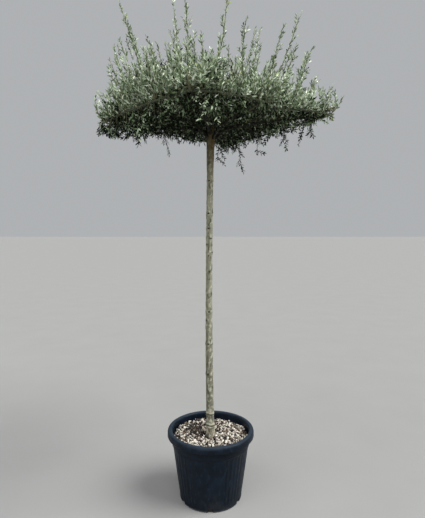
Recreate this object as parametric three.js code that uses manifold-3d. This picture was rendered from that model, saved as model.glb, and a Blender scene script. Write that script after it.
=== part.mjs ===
// A potted evergreen tree trained as a flat square roof on a tall clear trunk.
// Millimetres, +Z up. The origin is the centre of the pot's flat underside, and the viewer stands at -Y.

import * as THREE from "three";
import { mergeVertices } from "three/addons/utils/BufferGeometryUtils.js";
import Module from "manifold-3d";

const wasm = await Module();
wasm.setup();

// Space between pieces that touch
const CLEARANCE = 0.3;

// Driving dimensions of the pot
const POT_HEIGHT = 302;
const RIM_RADIUS = 195;
const MOUTH_RADIUS = 176;
const FOOT_RADIUS = 137;
const POT_WALL = 3;
const POT_FLOOR = 4.5;
const POT_SIDES = 36;
const LIP_DROP = 28;
const LIP_ROUND = 9;
const LIP_CORNER = 0.3;
const MOUTH_CHAMFER = 1;
const COLLAR_DEPTH = 38;
const COLLAR_STEP = 3;
const COLLAR_SLOPE = 2;
const FOOT_CHAMFER = 3;
const DRAIN_SLOTS = 6;
const DRAIN_WIDTH = 22;
const DRAIN_HEIGHT = 18;
const DRAIN_CUT = 15;

// Driving dimensions of the growing medium and its mulch
const SOIL_HEIGHT = 265;
const SOIL_EDGE_DROP = 4;
const SOIL_SWELL = 5;
const SOIL_WAVES = { along: 47, shifted: 0.6, across: 39 };
const SOIL_LEVEL = { within: 1.4, fade: 0.7 };
const SOIL_RINGS = [0.97, 0.8, 0.62, 0.46, 0.32, 0.2];
const HOLLOW_DEPTH = 13;
const HOLLOW_RADIUS = 42;
const HOLLOW_PLACE = [-66, 55];
const CHIP_COUNT = 18;
const CHIP_SIZE = [30, 17, 9];
const CHIP_TILT = [0.5, 0.35];
const CHIP_TURNS = [7, 5, 4];
const CHIP_VARIES = [0.7, 1.3];
const CHIP_LIFT = 1;

// Driving dimensions of the trunk
const TRUNK_HEAD = 1668;
const TRUNK_HEAD_SHARE = 0.62;
const FLARE_RADIUS = 25;
const FLARE_FADE = 22;
const TRUNK_RADIUS_LOW = 17.2;
const TRUNK_RADIUS_MIDDLE = 14.6;
const TRUNK_RADIUS_HEAD = 18.5;
const TRUNK_SWELLS = { from: 0.82, over: 0.15 };
const TRUNK_SIDES = 11;
const TRUNK_BOW = 8;
const TRUNK_BOW_SKEW = 0.8;
const TRUNK_SWAY = 3;
const FLARE_RINGS = [0, 8, 20];
const PLAIN_RINGS = [950, 1010, 1340, 1500, 1580, 1625, 1655];
const KNOT_HEIGHTS = [309, 363, 544, 626, 683, 760, 829, 1098, 1207, 1275, 1423];
const KNOT_SWELL = 1.3;
const KNOT_REACH = 8;
const KNOT_RING = 13;

// Driving dimensions of the trained roof: its four corners in plan, seen from above
const ROOF_HEIGHT = 1695;
const CORNERS = {
  near: new THREE.Vector2(-75, -455),
  right: new THREE.Vector2(518, -92),
  far: new THREE.Vector2(98, 545),
  left: new THREE.Vector2(-490, 27),
};
const CELL_EDGE = 0.38;
const OVERHANG = 1.1;

// Driving dimensions of the boughs, which reach the roof's corners and the middles of its sides
const CORNER_BOUGH = { base: 9.5, tip: 4.6, leaves: 1634, reach: 0.95, sides: 8, steps: 7 };
const SIDE_BOUGH = { base: 7, tip: 4.3, leaves: 1598, reach: 0.7, sides: 7, steps: 6 };
const BOUGH_BEND = 0.3;
const BOUGH_DROP = 4;
const CORNER_CELLS = { near: [-1, -1], right: [1, -1], far: [1, 1], left: [-1, 1] };
const SIDE_CELLS = { near_right: [0, -1], far_right: [1, 0], far_left: [0, 1], near_left: [-1, 0] };

// Driving dimensions of the limbs along the roof's sides. Each leaves a bough, back from its tip by a
// share of the bough's last step, and bends over one place on the roof to end at another.
const EDGE_LIMB = { base: 4.3, tip: 2.1, sides: 6, steps: 8, bow: 16, rise: 3 };
const EDGE_LIMBS = [
  { name: "edge_limb_near_left", bough: "bough_near_corner", back: 0.06, bend: [-1, 0], end: [-1, 0.93] },
  { name: "edge_limb_near_right", bough: "bough_near_corner", back: 0.06, bend: [-0.5, -1],
    end: [0.04, -0.98] },
  { name: "edge_limb_right", bough: "bough_near_right_side", back: 0.9, bend: [0.28, -1], end: [0.93, -1] },
  { name: "edge_limb_far_right", bough: "bough_right_corner", back: 0.06, bend: [1, 0], end: [1, 0.93] },
  { name: "edge_limb_far_left", bough: "bough_left_corner", back: 0.06, bend: [0, 1], end: [0.93, 1] },
];

// Driving dimensions of the foliage. Each leaf stands for a small spray of real ones, by length and
// width low down and high up.
const LEAF = { low: [114, 48], high: [72, 25], thick: 2.8, spacing: 62, sunk: 0.4 };
const LEAF_LEAN = 0.75;
const END_LEAF_LEAN = 3;
const LEAF_SHRINK = [60, 340];
const LEAF_ROLL = [0.5, 1.5];
const LEAF_TURNS = [0, 0.8, -0.8, 1.6];
const LEAF_SIDE = new THREE.Vector3(0.9, 0.3, 0.3);
const LEAF_ENDS = { before: 0.15, last: 0.98 };
const LEAF_ROLL_PITCH = 5;
const LEAF_TESTS = [0.3, 0.6, 1];
const SHOOT = { base: 2.7, tip: 1.3, steps: 3, sides: 3 };
const FOLIAGE_STEM = { base: 4.8, tip: 3.7, steps: 3, sides: 5 };
const STEM_REACH = { corner: 58, side: 96, middle: 66 };
const STEM_LIFT = 46;
const STEM_BEND = 0.6;
const STEM_END = 0.85;
const SHOOTS_PER_MASS = 10;
const HANGING_SHOOTS = 2;
const SHOOT_STARTS = [0.3, 0.97];
const SHOOT_SPREAD = 0.92;
const SHOOT_VARIES = [0.55, 1.15];
const HANG_VARIES = [0.6, 1];
const SHOOT_TESTS = 16;
const CELL_SHIFT = 0.31;
const HEIGHT_SHIFT = [0.2, 0.4];
const START_SHIFT = 0.4;
const LEVEL_RISE = { rising: 26, hanging: 8 };
const LEAN_PER_RISE = 0.0012;
const LEAN_LIMIT = 300;
const FOLIAGE_ROOM = 1;

// Steps that spread numbers evenly: round a circle, along a line and over a square
const GOLDEN_TURN = Math.PI * (3 - Math.sqrt(5));
const GOLDEN_STEP = 0.618034;
const PLASTIC_STEPS = [0.7548776662, 0.5698402910];

// One entry for each foliage mass: the cell it fills, counted from the roof's middle; how high its
// ordinary shoots rise over the roof; how far its lowest shoot hangs; and where its two tallest
// shoots stand, as shares of the way to the roof's sides, with their height.
const MASSES = [
  { name: "foliage_near_corner", cell: [-1, -1], rise: 105, hang: 40,
    tall: [[-0.66, -0.56, 365], [-0.46, -0.8, 350]] },
  { name: "foliage_near_right_side", cell: [0, -1], rise: 105, hang: 50,
    tall: [[-0.26, -0.78, 270], [0.29, -0.73, 364]] },
  { name: "foliage_right_corner", cell: [1, -1], rise: 72, hang: 60,
    tall: [[1.06, -1.05, 85], [0.56, -0.69, 255]] },
  { name: "foliage_far_right_side", cell: [1, 0], rise: 215, hang: 120,
    tall: [[0.6, 0.2, 330], [0.8, -0.25, 250]] },
  { name: "foliage_far_corner", cell: [1, 1], rise: 240, hang: 140,
    tall: [[0.7, 0.85, 360], [0.9, 0.5, 300]] },
  { name: "foliage_far_left_side", cell: [0, 1], rise: 215, hang: 50,
    tall: [[0.2, 0.7, 350], [-0.25, 0.9, 290]] },
  { name: "foliage_left_corner", cell: [-1, 1], rise: 120, hang: 60,
    tall: [[-1.04, 1.04, 85], [-0.71, 0.6, 330]] },
  { name: "foliage_near_left_side", cell: [-1, 0], rise: 150, hang: 50,
    tall: [[-0.78, 0.13, 415], [-0.59, -0.3, 380]] },
  { name: "foliage_middle", cell: [0, 0], rise: 225, hang: 0,
    tall: [[0.27, -0.2, 430], [-0.2, 0.27, 390]] },
];

// Finishes
const POT_PLASTIC = new THREE.MeshStandardMaterial({ color: 0x1b232c, roughness: 0.55, metalness: 0 });
const MULCH = new THREE.MeshStandardMaterial({ color: 0x6e6558, roughness: 0.95, metalness: 0 });
const BARK = new THREE.MeshStandardMaterial({ color: 0x82806e, roughness: 0.9, metalness: 0 });
const BOUGH_BARK = new THREE.MeshStandardMaterial({ color: 0x5d5a4a, roughness: 0.9, metalness: 0 });
const LEAFAGE = new THREE.MeshStandardMaterial({ color: 0x5a6a50, roughness: 0.7, metalness: 0 });

// Small sums that many functions share
const UP = new THREE.Vector3(0, 0, 1);
const fraction = (x) => x - Math.floor(x);
const mix = (a, b, share) => a + (b - a) * share;
const smooth = (x) => THREE.MathUtils.smoothstep(x, 0, 1);

// A closed geometry as a solid that can be joined and cut
function solidOf(geometry) {
  const bare = geometry.clone();
  bare.deleteAttribute("normal");
  bare.deleteAttribute("uv");
  const merged = mergeVertices(bare, 1e-4);
  return new wasm.Manifold(
    new wasm.Mesh({
      numProp: 3,
      vertProperties: new Float32Array(merged.attributes.position.array),
      triVerts: new Uint32Array(merged.index.array),
    }),
  );
}

// A joined or cut solid as a geometry again
function geometryOf(solid) {
  const made = solid.getMesh();
  const points = new Float32Array(made.numVert * 3);
  for (let i = 0; i < made.numVert; i += 1) {
    points.set(made.vertProperties.subarray(i * made.numProp, i * made.numProp + 3), i * 3);
  }
  const geometry = new THREE.BufferGeometry();
  geometry.setAttribute("position", new THREE.BufferAttribute(points, 3));
  geometry.setIndex(new THREE.BufferAttribute(new Uint32Array(made.triVerts), 1));
  return geometry;
}

// Joins many solids by halves, which is quicker than one after another
function joined(solids) {
  if (solids.length === 1) return solids[0];
  const half = solids.length >> 1;
  return joined(solids.slice(0, half)).add(joined(solids.slice(half)));
}

function namedMesh(name, solid, material) {
  const geometry = geometryOf(solid);
  geometry.computeVertexNormals();
  const mesh = new THREE.Mesh(geometry, material);
  mesh.name = name;
  return mesh;
}

// A capped tube through a row of centre points with a radius at each: a cylinder whose rings are
// moved onto the path, turned by the least twist from one ring to the next. The first ring can be
// given the direction that it faces.
function sweep({ points, radii, facing }, sides) {
  const rings = points.length - 1;
  const tangents = points.map((_, i) =>
    points[Math.min(i + 1, rings)].clone().sub(points[Math.max(i - 1, 0)]).normalize());
  if (facing) tangents[0].copy(facing);
  const across = UP.clone().cross(tangents[0]);
  if (across.length() < 0.1) across.set(1, 0, 0);
  const sideways = [across.projectOnPlane(tangents[0]).normalize()];
  for (let i = 1; i <= rings; i += 1) {
    const turn = new THREE.Quaternion().setFromUnitVectors(tangents[i - 1], tangents[i]);
    sideways.push(sideways[i - 1].clone().applyQuaternion(turn));
  }
  const geometry = new THREE.CylinderGeometry(1, 1, 1, sides, rings);
  const position = geometry.attributes.position;
  for (let v = 0; v < position.count; v += 1) {
    const ring = Math.round((position.getY(v) + 0.5) * rings);
    const upright = sideways[ring].clone().cross(tangents[ring]);
    const place = points[ring].clone()
      .addScaledVector(sideways[ring], position.getX(v) * radii[ring])
      .addScaledVector(upright, position.getZ(v) * radii[ring]);
    position.setXYZ(v, place.x, place.y, place.z);
  }
  return solidOf(geometry);
}

// A lathe turns about +Y, so this stands it up along +Z
function turned(profile) {
  const outline = profile.map(([radius, height]) => new THREE.Vector2(radius, height));
  return new THREE.LatheGeometry(outline, POT_SIDES).rotateX(Math.PI / 2);
}

// Radius of the pot's outer face at a height
function potRadiusAt(height) {
  return mix(FOOT_RADIUS, MOUTH_RADIUS, height / (POT_HEIGHT - LIP_DROP));
}

// The pot: a thin tapered wall with a stepped collar, a rolled lip that hangs over it and a flat floor
function potProfile() {
  const lipFoot = POT_HEIGHT - LIP_DROP;
  const collarFoot = lipFoot - COLLAR_DEPTH;
  const skirt = RIM_RADIUS - POT_WALL;
  const underLip = POT_HEIGHT - 2 * POT_WALL;
  return [
    [0, 0],
    [FOOT_RADIUS - FOOT_CHAMFER, 0],
    [potRadiusAt(FOOT_CHAMFER), FOOT_CHAMFER],
    [potRadiusAt(collarFoot - COLLAR_SLOPE), collarFoot - COLLAR_SLOPE],
    [potRadiusAt(collarFoot) + COLLAR_STEP, collarFoot],
    [MOUTH_RADIUS + COLLAR_STEP, underLip],
    [skirt - LIP_ROUND / 2, underLip],
    [skirt, lipFoot + LIP_ROUND],
    [skirt, lipFoot],
    [RIM_RADIUS, lipFoot],
    [RIM_RADIUS, POT_HEIGHT - LIP_ROUND],
    [RIM_RADIUS - LIP_ROUND * LIP_CORNER, POT_HEIGHT - LIP_ROUND * LIP_CORNER],
    [RIM_RADIUS - LIP_ROUND, POT_HEIGHT],
    [MOUTH_RADIUS + MOUTH_CHAMFER, POT_HEIGHT],
    [MOUTH_RADIUS - POT_WALL, underLip],
    [potRadiusAt(lipFoot) - POT_WALL, lipFoot],
    [potRadiusAt(POT_FLOOR) - POT_WALL, POT_FLOOR],
    [0, POT_FLOOR],
  ];
}

// Slots in the bottom edge let water out
function makePot() {
  let pot = solidOf(turned(potProfile()));
  for (let i = 0; i < DRAIN_SLOTS; i += 1) {
    const slot = new THREE.BoxGeometry(DRAIN_WIDTH, DRAIN_CUT, 2 * DRAIN_HEIGHT)
      .translate(0, -FOOT_RADIUS - POT_WALL, 0)
      .rotateZ((i * 2 * Math.PI) / DRAIN_SLOTS);
    pot = pot.subtract(solidOf(slot));
  }
  return namedMesh("pot", pot, POT_PLASTIC);
}

function hollowShare(x, y) {
  return Math.hypot(x - HOLLOW_PLACE[0], y - HOLLOW_PLACE[1]) / HOLLOW_RADIUS;
}

// Height of the medium's top: level under the trunk, gently uneven, with a bare hollow beside it
function soilTopAt(x, y) {
  const away = Math.hypot(x, y);
  const clearOfTrunk = smooth((away / FLARE_RADIUS - SOIL_LEVEL.within) / SOIL_LEVEL.fade);
  const { along, shifted, across } = SOIL_WAVES;
  const swell = SOIL_SWELL * Math.sin(x / along + shifted) * Math.cos(y / across);
  return SOIL_HEIGHT + clearOfTrunk * (swell - HOLLOW_DEPTH * (1 - smooth(hollowShare(x, y))));
}

// One mulch chip: a small tilted block half sunk in the medium's top
function chipSolid(x, y, index) {
  const size = mix(...CHIP_VARIES, fraction(index * PLASTIC_STEPS[1]));
  return solidOf(new THREE.BoxGeometry(...CHIP_SIZE)
    .scale(size, size, size)
    .rotateX(CHIP_TILT[0] * Math.sin(CHIP_TURNS[0] * index))
    .rotateY(CHIP_TILT[1] * Math.cos(CHIP_TURNS[1] * index))
    .rotateZ(CHIP_TURNS[2] * index)
    .translate(x, y, soilTopAt(x, y) + CHIP_LIFT));
}

// The medium fills the pot up to its uneven top, with the larger mulch chips sunk in it
function makeSoil() {
  const foot = POT_FLOOR + CLEARANCE;
  const inner = (height) => potRadiusAt(height) - POT_WALL - CLEARANCE;
  const edge = inner(SOIL_HEIGHT);
  const body = turned([
    [0, foot],
    [inner(foot), foot],
    [inner(SOIL_HEIGHT - SOIL_EDGE_DROP), SOIL_HEIGHT - SOIL_EDGE_DROP],
    ...SOIL_RINGS.map((share) => [share * edge, SOIL_HEIGHT]),
    [0, SOIL_HEIGHT],
  ]);
  const position = body.attributes.position;
  for (let v = 0; v < position.count; v += 1) {
    if (position.getZ(v) > SOIL_HEIGHT - 1) {
      position.setZ(v, soilTopAt(position.getX(v), position.getY(v)));
    }
  }
  const chips = [];
  for (let i = 0; i < CHIP_COUNT; i += 1) {
    const share = Math.sqrt(fraction(0.5 + i * PLASTIC_STEPS[0]));
    const radius = mix(FLARE_RADIUS + CHIP_SIZE[0], edge - CHIP_SIZE[0], share);
    const [x, y] = [radius * Math.cos(i * GOLDEN_TURN), radius * Math.sin(i * GOLDEN_TURN)];
    if (hollowShare(x, y) > 1) chips.push(chipSolid(x, y, i));
  }
  return namedMesh("growing_medium", joined([solidOf(body), ...chips]), MULCH);
}

// The trunk's centre line bows a little to one side and sways a little in depth
function trunkCentre(height) {
  const share = (height - SOIL_HEIGHT) / (TRUNK_HEAD - SOIL_HEIGHT);
  const bow = -TRUNK_BOW * Math.sin(Math.PI * share ** TRUNK_BOW_SKEW);
  return new THREE.Vector3(bow, TRUNK_SWAY * Math.sin(2 * Math.PI * share), height);
}

// Radius of the trunk: a fading root flare, a slow taper, a swollen head and a ring at each knot
function trunkRadius(height) {
  const share = (height - SOIL_HEIGHT) / (TRUNK_HEAD - SOIL_HEIGHT);
  const taper = mix(TRUNK_RADIUS_LOW, TRUNK_RADIUS_MIDDLE, smooth(2 * share));
  const swollen = smooth((share - TRUNK_SWELLS.from) / TRUNK_SWELLS.over);
  const head = (TRUNK_RADIUS_HEAD - TRUNK_RADIUS_MIDDLE) * swollen;
  const flare = (FLARE_RADIUS - TRUNK_RADIUS_LOW) * Math.exp((SOIL_HEIGHT - height) / FLARE_FADE);
  const knots = KNOT_HEIGHTS.map((knot) => Math.exp(-(((height - knot) / KNOT_REACH) ** 2)));
  return taper + head + flare + KNOT_SWELL * knots.reduce((sum, knot) => sum + knot, 0);
}

// The trunk stands on the medium, cut level, with three rings at each knot. It can be made larger all
// round by a clearance, to cut what meets it.
function trunkSolid(grown = 0) {
  const foot = SOIL_HEIGHT + CLEARANCE;
  const heights = [...FLARE_RINGS.map((above) => foot + above), ...PLAIN_RINGS, TRUNK_HEAD];
  for (const knot of KNOT_HEIGHTS) heights.push(knot - KNOT_RING, knot, knot + KNOT_RING);
  heights.sort((low, high) => low - high);
  const points = heights.map(trunkCentre);
  const radii = heights.map((height) => trunkRadius(height) + grown);
  points.at(-1).z += grown;
  radii[radii.length - 1] *= TRUNK_HEAD_SHARE;
  return sweep({ points, radii, facing: UP }, TRUNK_SIDES);
}

// Place on the roof for shares from -1 to 1 along its two pairs of sides, by its four corners
function roofPoint([s, t], height = ROOF_HEIGHT) {
  const low = CORNERS.near.clone().lerp(CORNERS.right, (s + 1) / 2);
  const high = CORNERS.left.clone().lerp(CORNERS.far, (s + 1) / 2);
  const place = low.lerp(high, (t + 1) / 2);
  return new THREE.Vector3(place.x, place.y, height);
}

// Evenly spaced points on a curve with a radius that tapers along it
function taperedLine(curve, { base, tip, steps }) {
  const points = curve.getSpacedPoints(steps);
  return { points, radii: points.map((_, i) => mix(base, tip, i / steps)) };
}

// A limb's solid made larger all round and at its tip by the clearance, to cut what meets it
function grownLimb({ points, radii, sides }) {
  const [before, tip] = points.slice(-2);
  const longer = tip.clone().add(tip.clone().sub(before).setLength(CLEARANCE));
  return sweep({ points: [...points.slice(0, -1), longer], radii: radii.map((r) => r + CLEARANCE) }, sides);
}

// A bough leaves the trunk's head, rises and flattens out to its place on the roof
function boughLine([s, t], size) {
  const start = trunkCentre(size.leaves);
  const end = roofPoint([s * size.reach, t * size.reach], ROOF_HEIGHT - BOUGH_DROP);
  const bend = start.clone().lerp(end, BOUGH_BEND).setZ(ROOF_HEIGHT - BOUGH_DROP / 2);
  return taperedLine(new THREE.QuadraticBezierCurve3(start, bend, end), size);
}

// A limb along the roof's side leaves its bough and bows out a little on its way to its end
function edgeLine({ bough, back, bend, end }) {
  const [before, tip] = limbs[bough].points.slice(-2);
  const start = tip.clone().lerp(before, back);
  const middle = roofPoint(bend, 0);
  middle.setLength(middle.length() + EDGE_LIMB.bow).setZ(ROOF_HEIGHT + 2 * EDGE_LIMB.rise);
  const finish = roofPoint(end, ROOF_HEIGHT + EDGE_LIMB.rise);
  return taperedLine(new THREE.QuadraticBezierCurve3(start, middle, finish), EDGE_LIMB);
}

// Every limb's line by its name, for the foliage to grow from and around
const limbs = {};

// Keeps a limb's line and makes its mesh, cut clear of the thicker piece that it leaves
function makeLimb(name, line, { sides }, cutter) {
  limbs[name] = { ...line, sides };
  const pieces = sweep(line, sides).subtract(cutter).decompose();
  const whole = pieces.reduce((a, b) => (a.volume() > b.volume() ? a : b));
  return namedMesh(name, whole, BOUGH_BARK);
}

function makeLimbs() {
  const trunk = trunkSolid(CLEARANCE);
  const corners = Object.entries(CORNER_CELLS).map(([name, cell]) =>
    makeLimb(`bough_${name}_corner`, boughLine(cell, CORNER_BOUGH), CORNER_BOUGH, trunk));
  const sides = Object.entries(SIDE_CELLS).map(([name, cell]) =>
    makeLimb(`bough_${name}_side`, boughLine(cell, SIDE_BOUGH), SIDE_BOUGH, trunk));
  const edges = EDGE_LIMBS.map((entry) =>
    makeLimb(entry.name, edgeLine(entry), EDGE_LIMB, grownLimb(limbs[entry.bough])));
  return [...corners, ...sides, ...edges];
}

// The upright line over a place on the roof leans outwards, more so away from the middle
function leant(place, height) {
  const away = Math.hypot(place.x, place.y);
  const shift = LEAN_PER_RISE * Math.max(height, 0) * Math.min(away, LEAN_LIMIT);
  return place.clone().multiplyScalar((away + shift) / Math.max(away, 1)).setZ(ROOF_HEIGHT + height);
}

// The place on the roof whose leaning line passes through a point
function footOf(point) {
  const away = Math.hypot(point.x, point.y);
  const steep = LEAN_PER_RISE * Math.max(point.z - ROOF_HEIGHT, 0);
  const near = away / (1 + steep);
  const foot = near < LEAN_LIMIT ? near : away - steep * LEAN_LIMIT;
  return point.clone().multiplyScalar(foot / Math.max(away, 1)).setZ(ROOF_HEIGHT);
}

// The four lines that bound a mass in plan, each with the direction that points into the cell
function cellLines([i, j]) {
  const edges = [-OVERHANG, -CELL_EDGE, CELL_EDGE, OVERHANG];
  const [s0, s1, t0, t1] = [edges[i + 1], edges[i + 2], edges[j + 1], edges[j + 2]];
  const ends = [[s0, t0], [s1, t0], [s1, t1], [s0, t1]].map((place) => roofPoint(place));
  return ends.map((corner, k) => {
    const along = ends[(k + 1) % 4].clone().sub(corner).normalize();
    return { corner, inward: new THREE.Vector3(-along.y, along.x, 0) };
  });
}

function insideCell(point, lines, margin) {
  const foot = footOf(point);
  return lines.every(({ corner, inward }) => foot.clone().sub(corner).dot(inward) > margin);
}

// True where a point is nearer than the margin to any limb's bark, or to the trunk's
function touchesLimb(point, margin) {
  const trunkAway = Math.hypot(point.x, point.y) - TRUNK_RADIUS_HEAD;
  if (point.z < TRUNK_HEAD + margin && trunkAway < margin) return true;
  return Object.values(limbs).some(({ points, radii }) => points.slice(1).some((end, i) => {
    const line = new THREE.Line3(points[i], end);
    const share = line.closestPointToPointParameter(point, true);
    const away = line.at(share, new THREE.Vector3()).distanceTo(point);
    return away < mix(radii[i], radii[i + 1], share) + margin;
  }));
}

// True where a ball round the point keeps to the cell and clear of the limbs
function isFree(point, lines, radius) {
  const margin = radius + FOLIAGE_ROOM;
  return insideCell(point, lines, margin) && !touchesLimb(point, margin);
}

// A line of straight pieces through the points, which gives places along it by length
function brokenLine(points) {
  const line = new THREE.CurvePath();
  for (let i = 1; i < points.length; i += 1) line.add(new THREE.LineCurve3(points[i - 1], points[i]));
  return line;
}

// The limb that a mass grows on, and how far its stem goes on from that limb's tip
function carrierOf([i, j]) {
  const isCell = ([, cell]) => cell[0] === i && cell[1] === j;
  const corner = Object.entries(CORNER_CELLS).find(isCell);
  if (corner) return { limb: limbs[`bough_${corner[0]}_corner`], reach: STEM_REACH.corner, lift: STEM_LIFT };
  const side = Object.entries(SIDE_CELLS).find(isCell);
  if (side) return { limb: limbs[`bough_${side[0]}_side`], reach: STEM_REACH.side, lift: STEM_LIFT };
  const head = [trunkCentre(TRUNK_HEAD).setZ(ROOF_HEIGHT / 2), trunkCentre(TRUNK_HEAD)];
  return { limb: { points: head }, reach: STEM_REACH.middle, lift: 0 };
}

// The stem of a mass starts just off its limb's tip and goes on the same way, turning up
function stemLine(mass) {
  const { limb, reach, lift } = carrierOf(mass.cell);
  const [before, tip] = limb.points.slice(-2);
  const facing = tip.clone().sub(before).normalize();
  const start = tip.clone().addScaledVector(facing, CLEARANCE);
  const bend = start.clone().addScaledVector(facing, STEM_BEND * reach);
  const end = start.clone().addScaledVector(facing, STEM_END * reach);
  end.z += lift;
  return { facing, ...taperedLine(new THREE.QuadraticBezierCurve3(start, bend, end), FOLIAGE_STEM) };
}

// Where a shoot stands and how high its tip is: the tall ones by their entry, the last ones hanging,
// the rest spread evenly over the cell.
function shootPlace({ cell, tall, rise, hang }, index) {
  if (index < tall.length) {
    const [s, t, height] = tall[index];
    return { place: [s, t], height };
  }
  const place = cell.map((k, axis) => {
    const middle = (k * (OVERHANG + CELL_EDGE)) / 2;
    const half = k === 0 ? CELL_EDGE : (OVERHANG - CELL_EDGE) / 2;
    const share = 2 * fraction(0.5 + index * PLASTIC_STEPS[axis] + CELL_SHIFT * k) - 1;
    return middle + SHOOT_SPREAD * half * share;
  });
  const shift = HEIGHT_SHIFT[0] * cell[0] + HEIGHT_SHIFT[1] * cell[1];
  const varies = fraction(index * GOLDEN_STEP + shift);
  const hangs = hang > 0 && index >= SHOOTS_PER_MASS - HANGING_SHOOTS;
  const height = hangs ? -hang * mix(...HANG_VARIES, varies) : rise * mix(...SHOOT_VARIES, varies);
  return { place, height };
}

// The line of one shoot: out from the mass's stem to its place over the cell, then up, leaning
// outwards the further it stands from the middle of the roof. A hanging one goes down instead.
function shootLine(mass, stem, index) {
  const { place, height } = shootPlace(mass, index);
  const foot = roofPoint(place);
  const start = stem.getPointAt(mix(...SHOOT_STARTS, fraction(START_SHIFT + index * GOLDEN_STEP)));
  const level = height > 0 ? LEVEL_RISE.rising : LEVEL_RISE.hanging;
  const bend = foot.clone().setZ(ROOF_HEIGHT + level);
  return taperedLine(new THREE.QuadraticBezierCurve3(start, bend, leant(foot, height)), SHOOT);
}

// A leaf at a share of the way along a shoot, turned round it by an angle and leaning ahead, smaller
// the higher it stands
function leafAt(line, share, angle, lean) {
  const root = line.getPointAt(share);
  const tangent = line.getTangentAt(share);
  const side = LEAF_SIDE.clone().projectOnPlane(tangent).normalize();
  side.applyAxisAngle(tangent, angle);
  const direction = side.addScaledVector(tangent, lean).normalize();
  const small = THREE.MathUtils.smoothstep(root.z - ROOF_HEIGHT, ...LEAF_SHRINK);
  const [length, width] = LEAF.low.map((size, i) => mix(size, LEAF.high[i], small));
  const roll = mix(...LEAF_ROLL, small) * Math.sin(LEAF_ROLL_PITCH * angle);
  return { root, direction, length, width, roll };
}

function leafFits({ root, direction, length, width }, lines) {
  return LEAF_TESTS.every((part) =>
    isFree(root.clone().addScaledVector(direction, part * length), lines, part < 1 ? width / 2 : 0));
}

// One leaf: eight faces, its root sunk in the twig, its blade rolled about its length
function leafSolid({ root, direction, length, width, roll }) {
  const across = UP.clone().cross(direction).normalize().applyAxisAngle(direction, roll);
  const face = direction.clone().cross(across);
  return solidOf(new THREE.OctahedronGeometry(1)
    .scale(length / 2, width / 2, LEAF.thick / 2)
    .translate(length / 2 - LEAF.sunk, 0, 0)
    .applyMatrix4(new THREE.Matrix4().makeBasis(direction, across, face))
    .translate(root.x, root.y, root.z));
}

// Leaves stand round a shoot by the golden turn, each leaning towards the shoot's tip. One that
// would leave the cell, touch a limb or cross a neighbour turns a little, or else is skipped.
function leavesOn(shoot, lines, neighbours) {
  const line = brokenLine(shoot.points);
  const count = Math.round(line.getLength() / LEAF.spacing);
  const leaves = [];
  for (let k = 1; k <= count; k += 1) {
    const lean = k === count ? END_LEAF_LEAN : LEAF_LEAN;
    for (const turn of LEAF_TURNS) {
      const angle = shoot.index + k * GOLDEN_TURN + turn;
      const leaf = leafAt(line, Math.min((k - LEAF_ENDS.before) / count, LEAF_ENDS.last), angle, lean);
      if (!leafFits(leaf, lines)) continue;
      const solid = leafSolid(leaf);
      if (![...neighbours, ...leaves].every((other) => other.intersect(solid).isEmpty())) continue;
      leaves.push(solid);
      break;
    }
  }
  return leaves;
}

// The shoots of a mass, without those that would leave its cell or touch a limb
function shootsOf(mass, stem, lines) {
  const shoots = [];
  for (let index = 0; index < SHOOTS_PER_MASS; index += 1) {
    const line = shootLine(mass, brokenLine(stem.points), index);
    const steps = brokenLine(line.points).getSpacedPoints(SHOOT_TESTS);
    if (steps.every((point) => isFree(point, lines, SHOOT.base))) {
      shoots.push({ ...line, index, solid: sweep(line, SHOOT.sides) });
    }
  }
  return shoots;
}

// One mass of foliage as one solid: a stem, the shoots that branch from it and the leaves on them
function makeMass(mass) {
  const lines = cellLines(mass.cell);
  const stem = stemLine(mass);
  const shoots = shootsOf(mass, stem, lines);
  const twigs = [sweep(stem, FOLIAGE_STEM.sides), ...shoots.map(({ solid }) => solid)];
  const leaves = [];
  for (const shoot of shoots) {
    const neighbours = [...twigs.filter((twig) => twig !== shoot.solid), ...leaves];
    leaves.push(...leavesOn(shoot, lines, neighbours));
  }
  return namedMesh(mass.name, joined([...twigs, ...leaves]), LEAFAGE);
}

const tree = new THREE.Group();
tree.add(makePot());
tree.add(makeSoil());
tree.add(namedMesh("trunk", trunkSolid(), BARK));
tree.add(...makeLimbs());
tree.add(...MASSES.map(makeMass));

export default tree;
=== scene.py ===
# %% [markdown]
# A potted tree trained as a flat roof
#
# This lesson dresses a packed tree in Blender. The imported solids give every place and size: a pot, its
# growing medium, a trunk, thirteen limbs and nine masses of foliage. Here each of them is replaced by a
# finer mesh that is worked out with numpy from the same named sizes. Lengths are in millimetres until a
# mesh is made, because a gardener and a pot maker both think in them.

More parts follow.
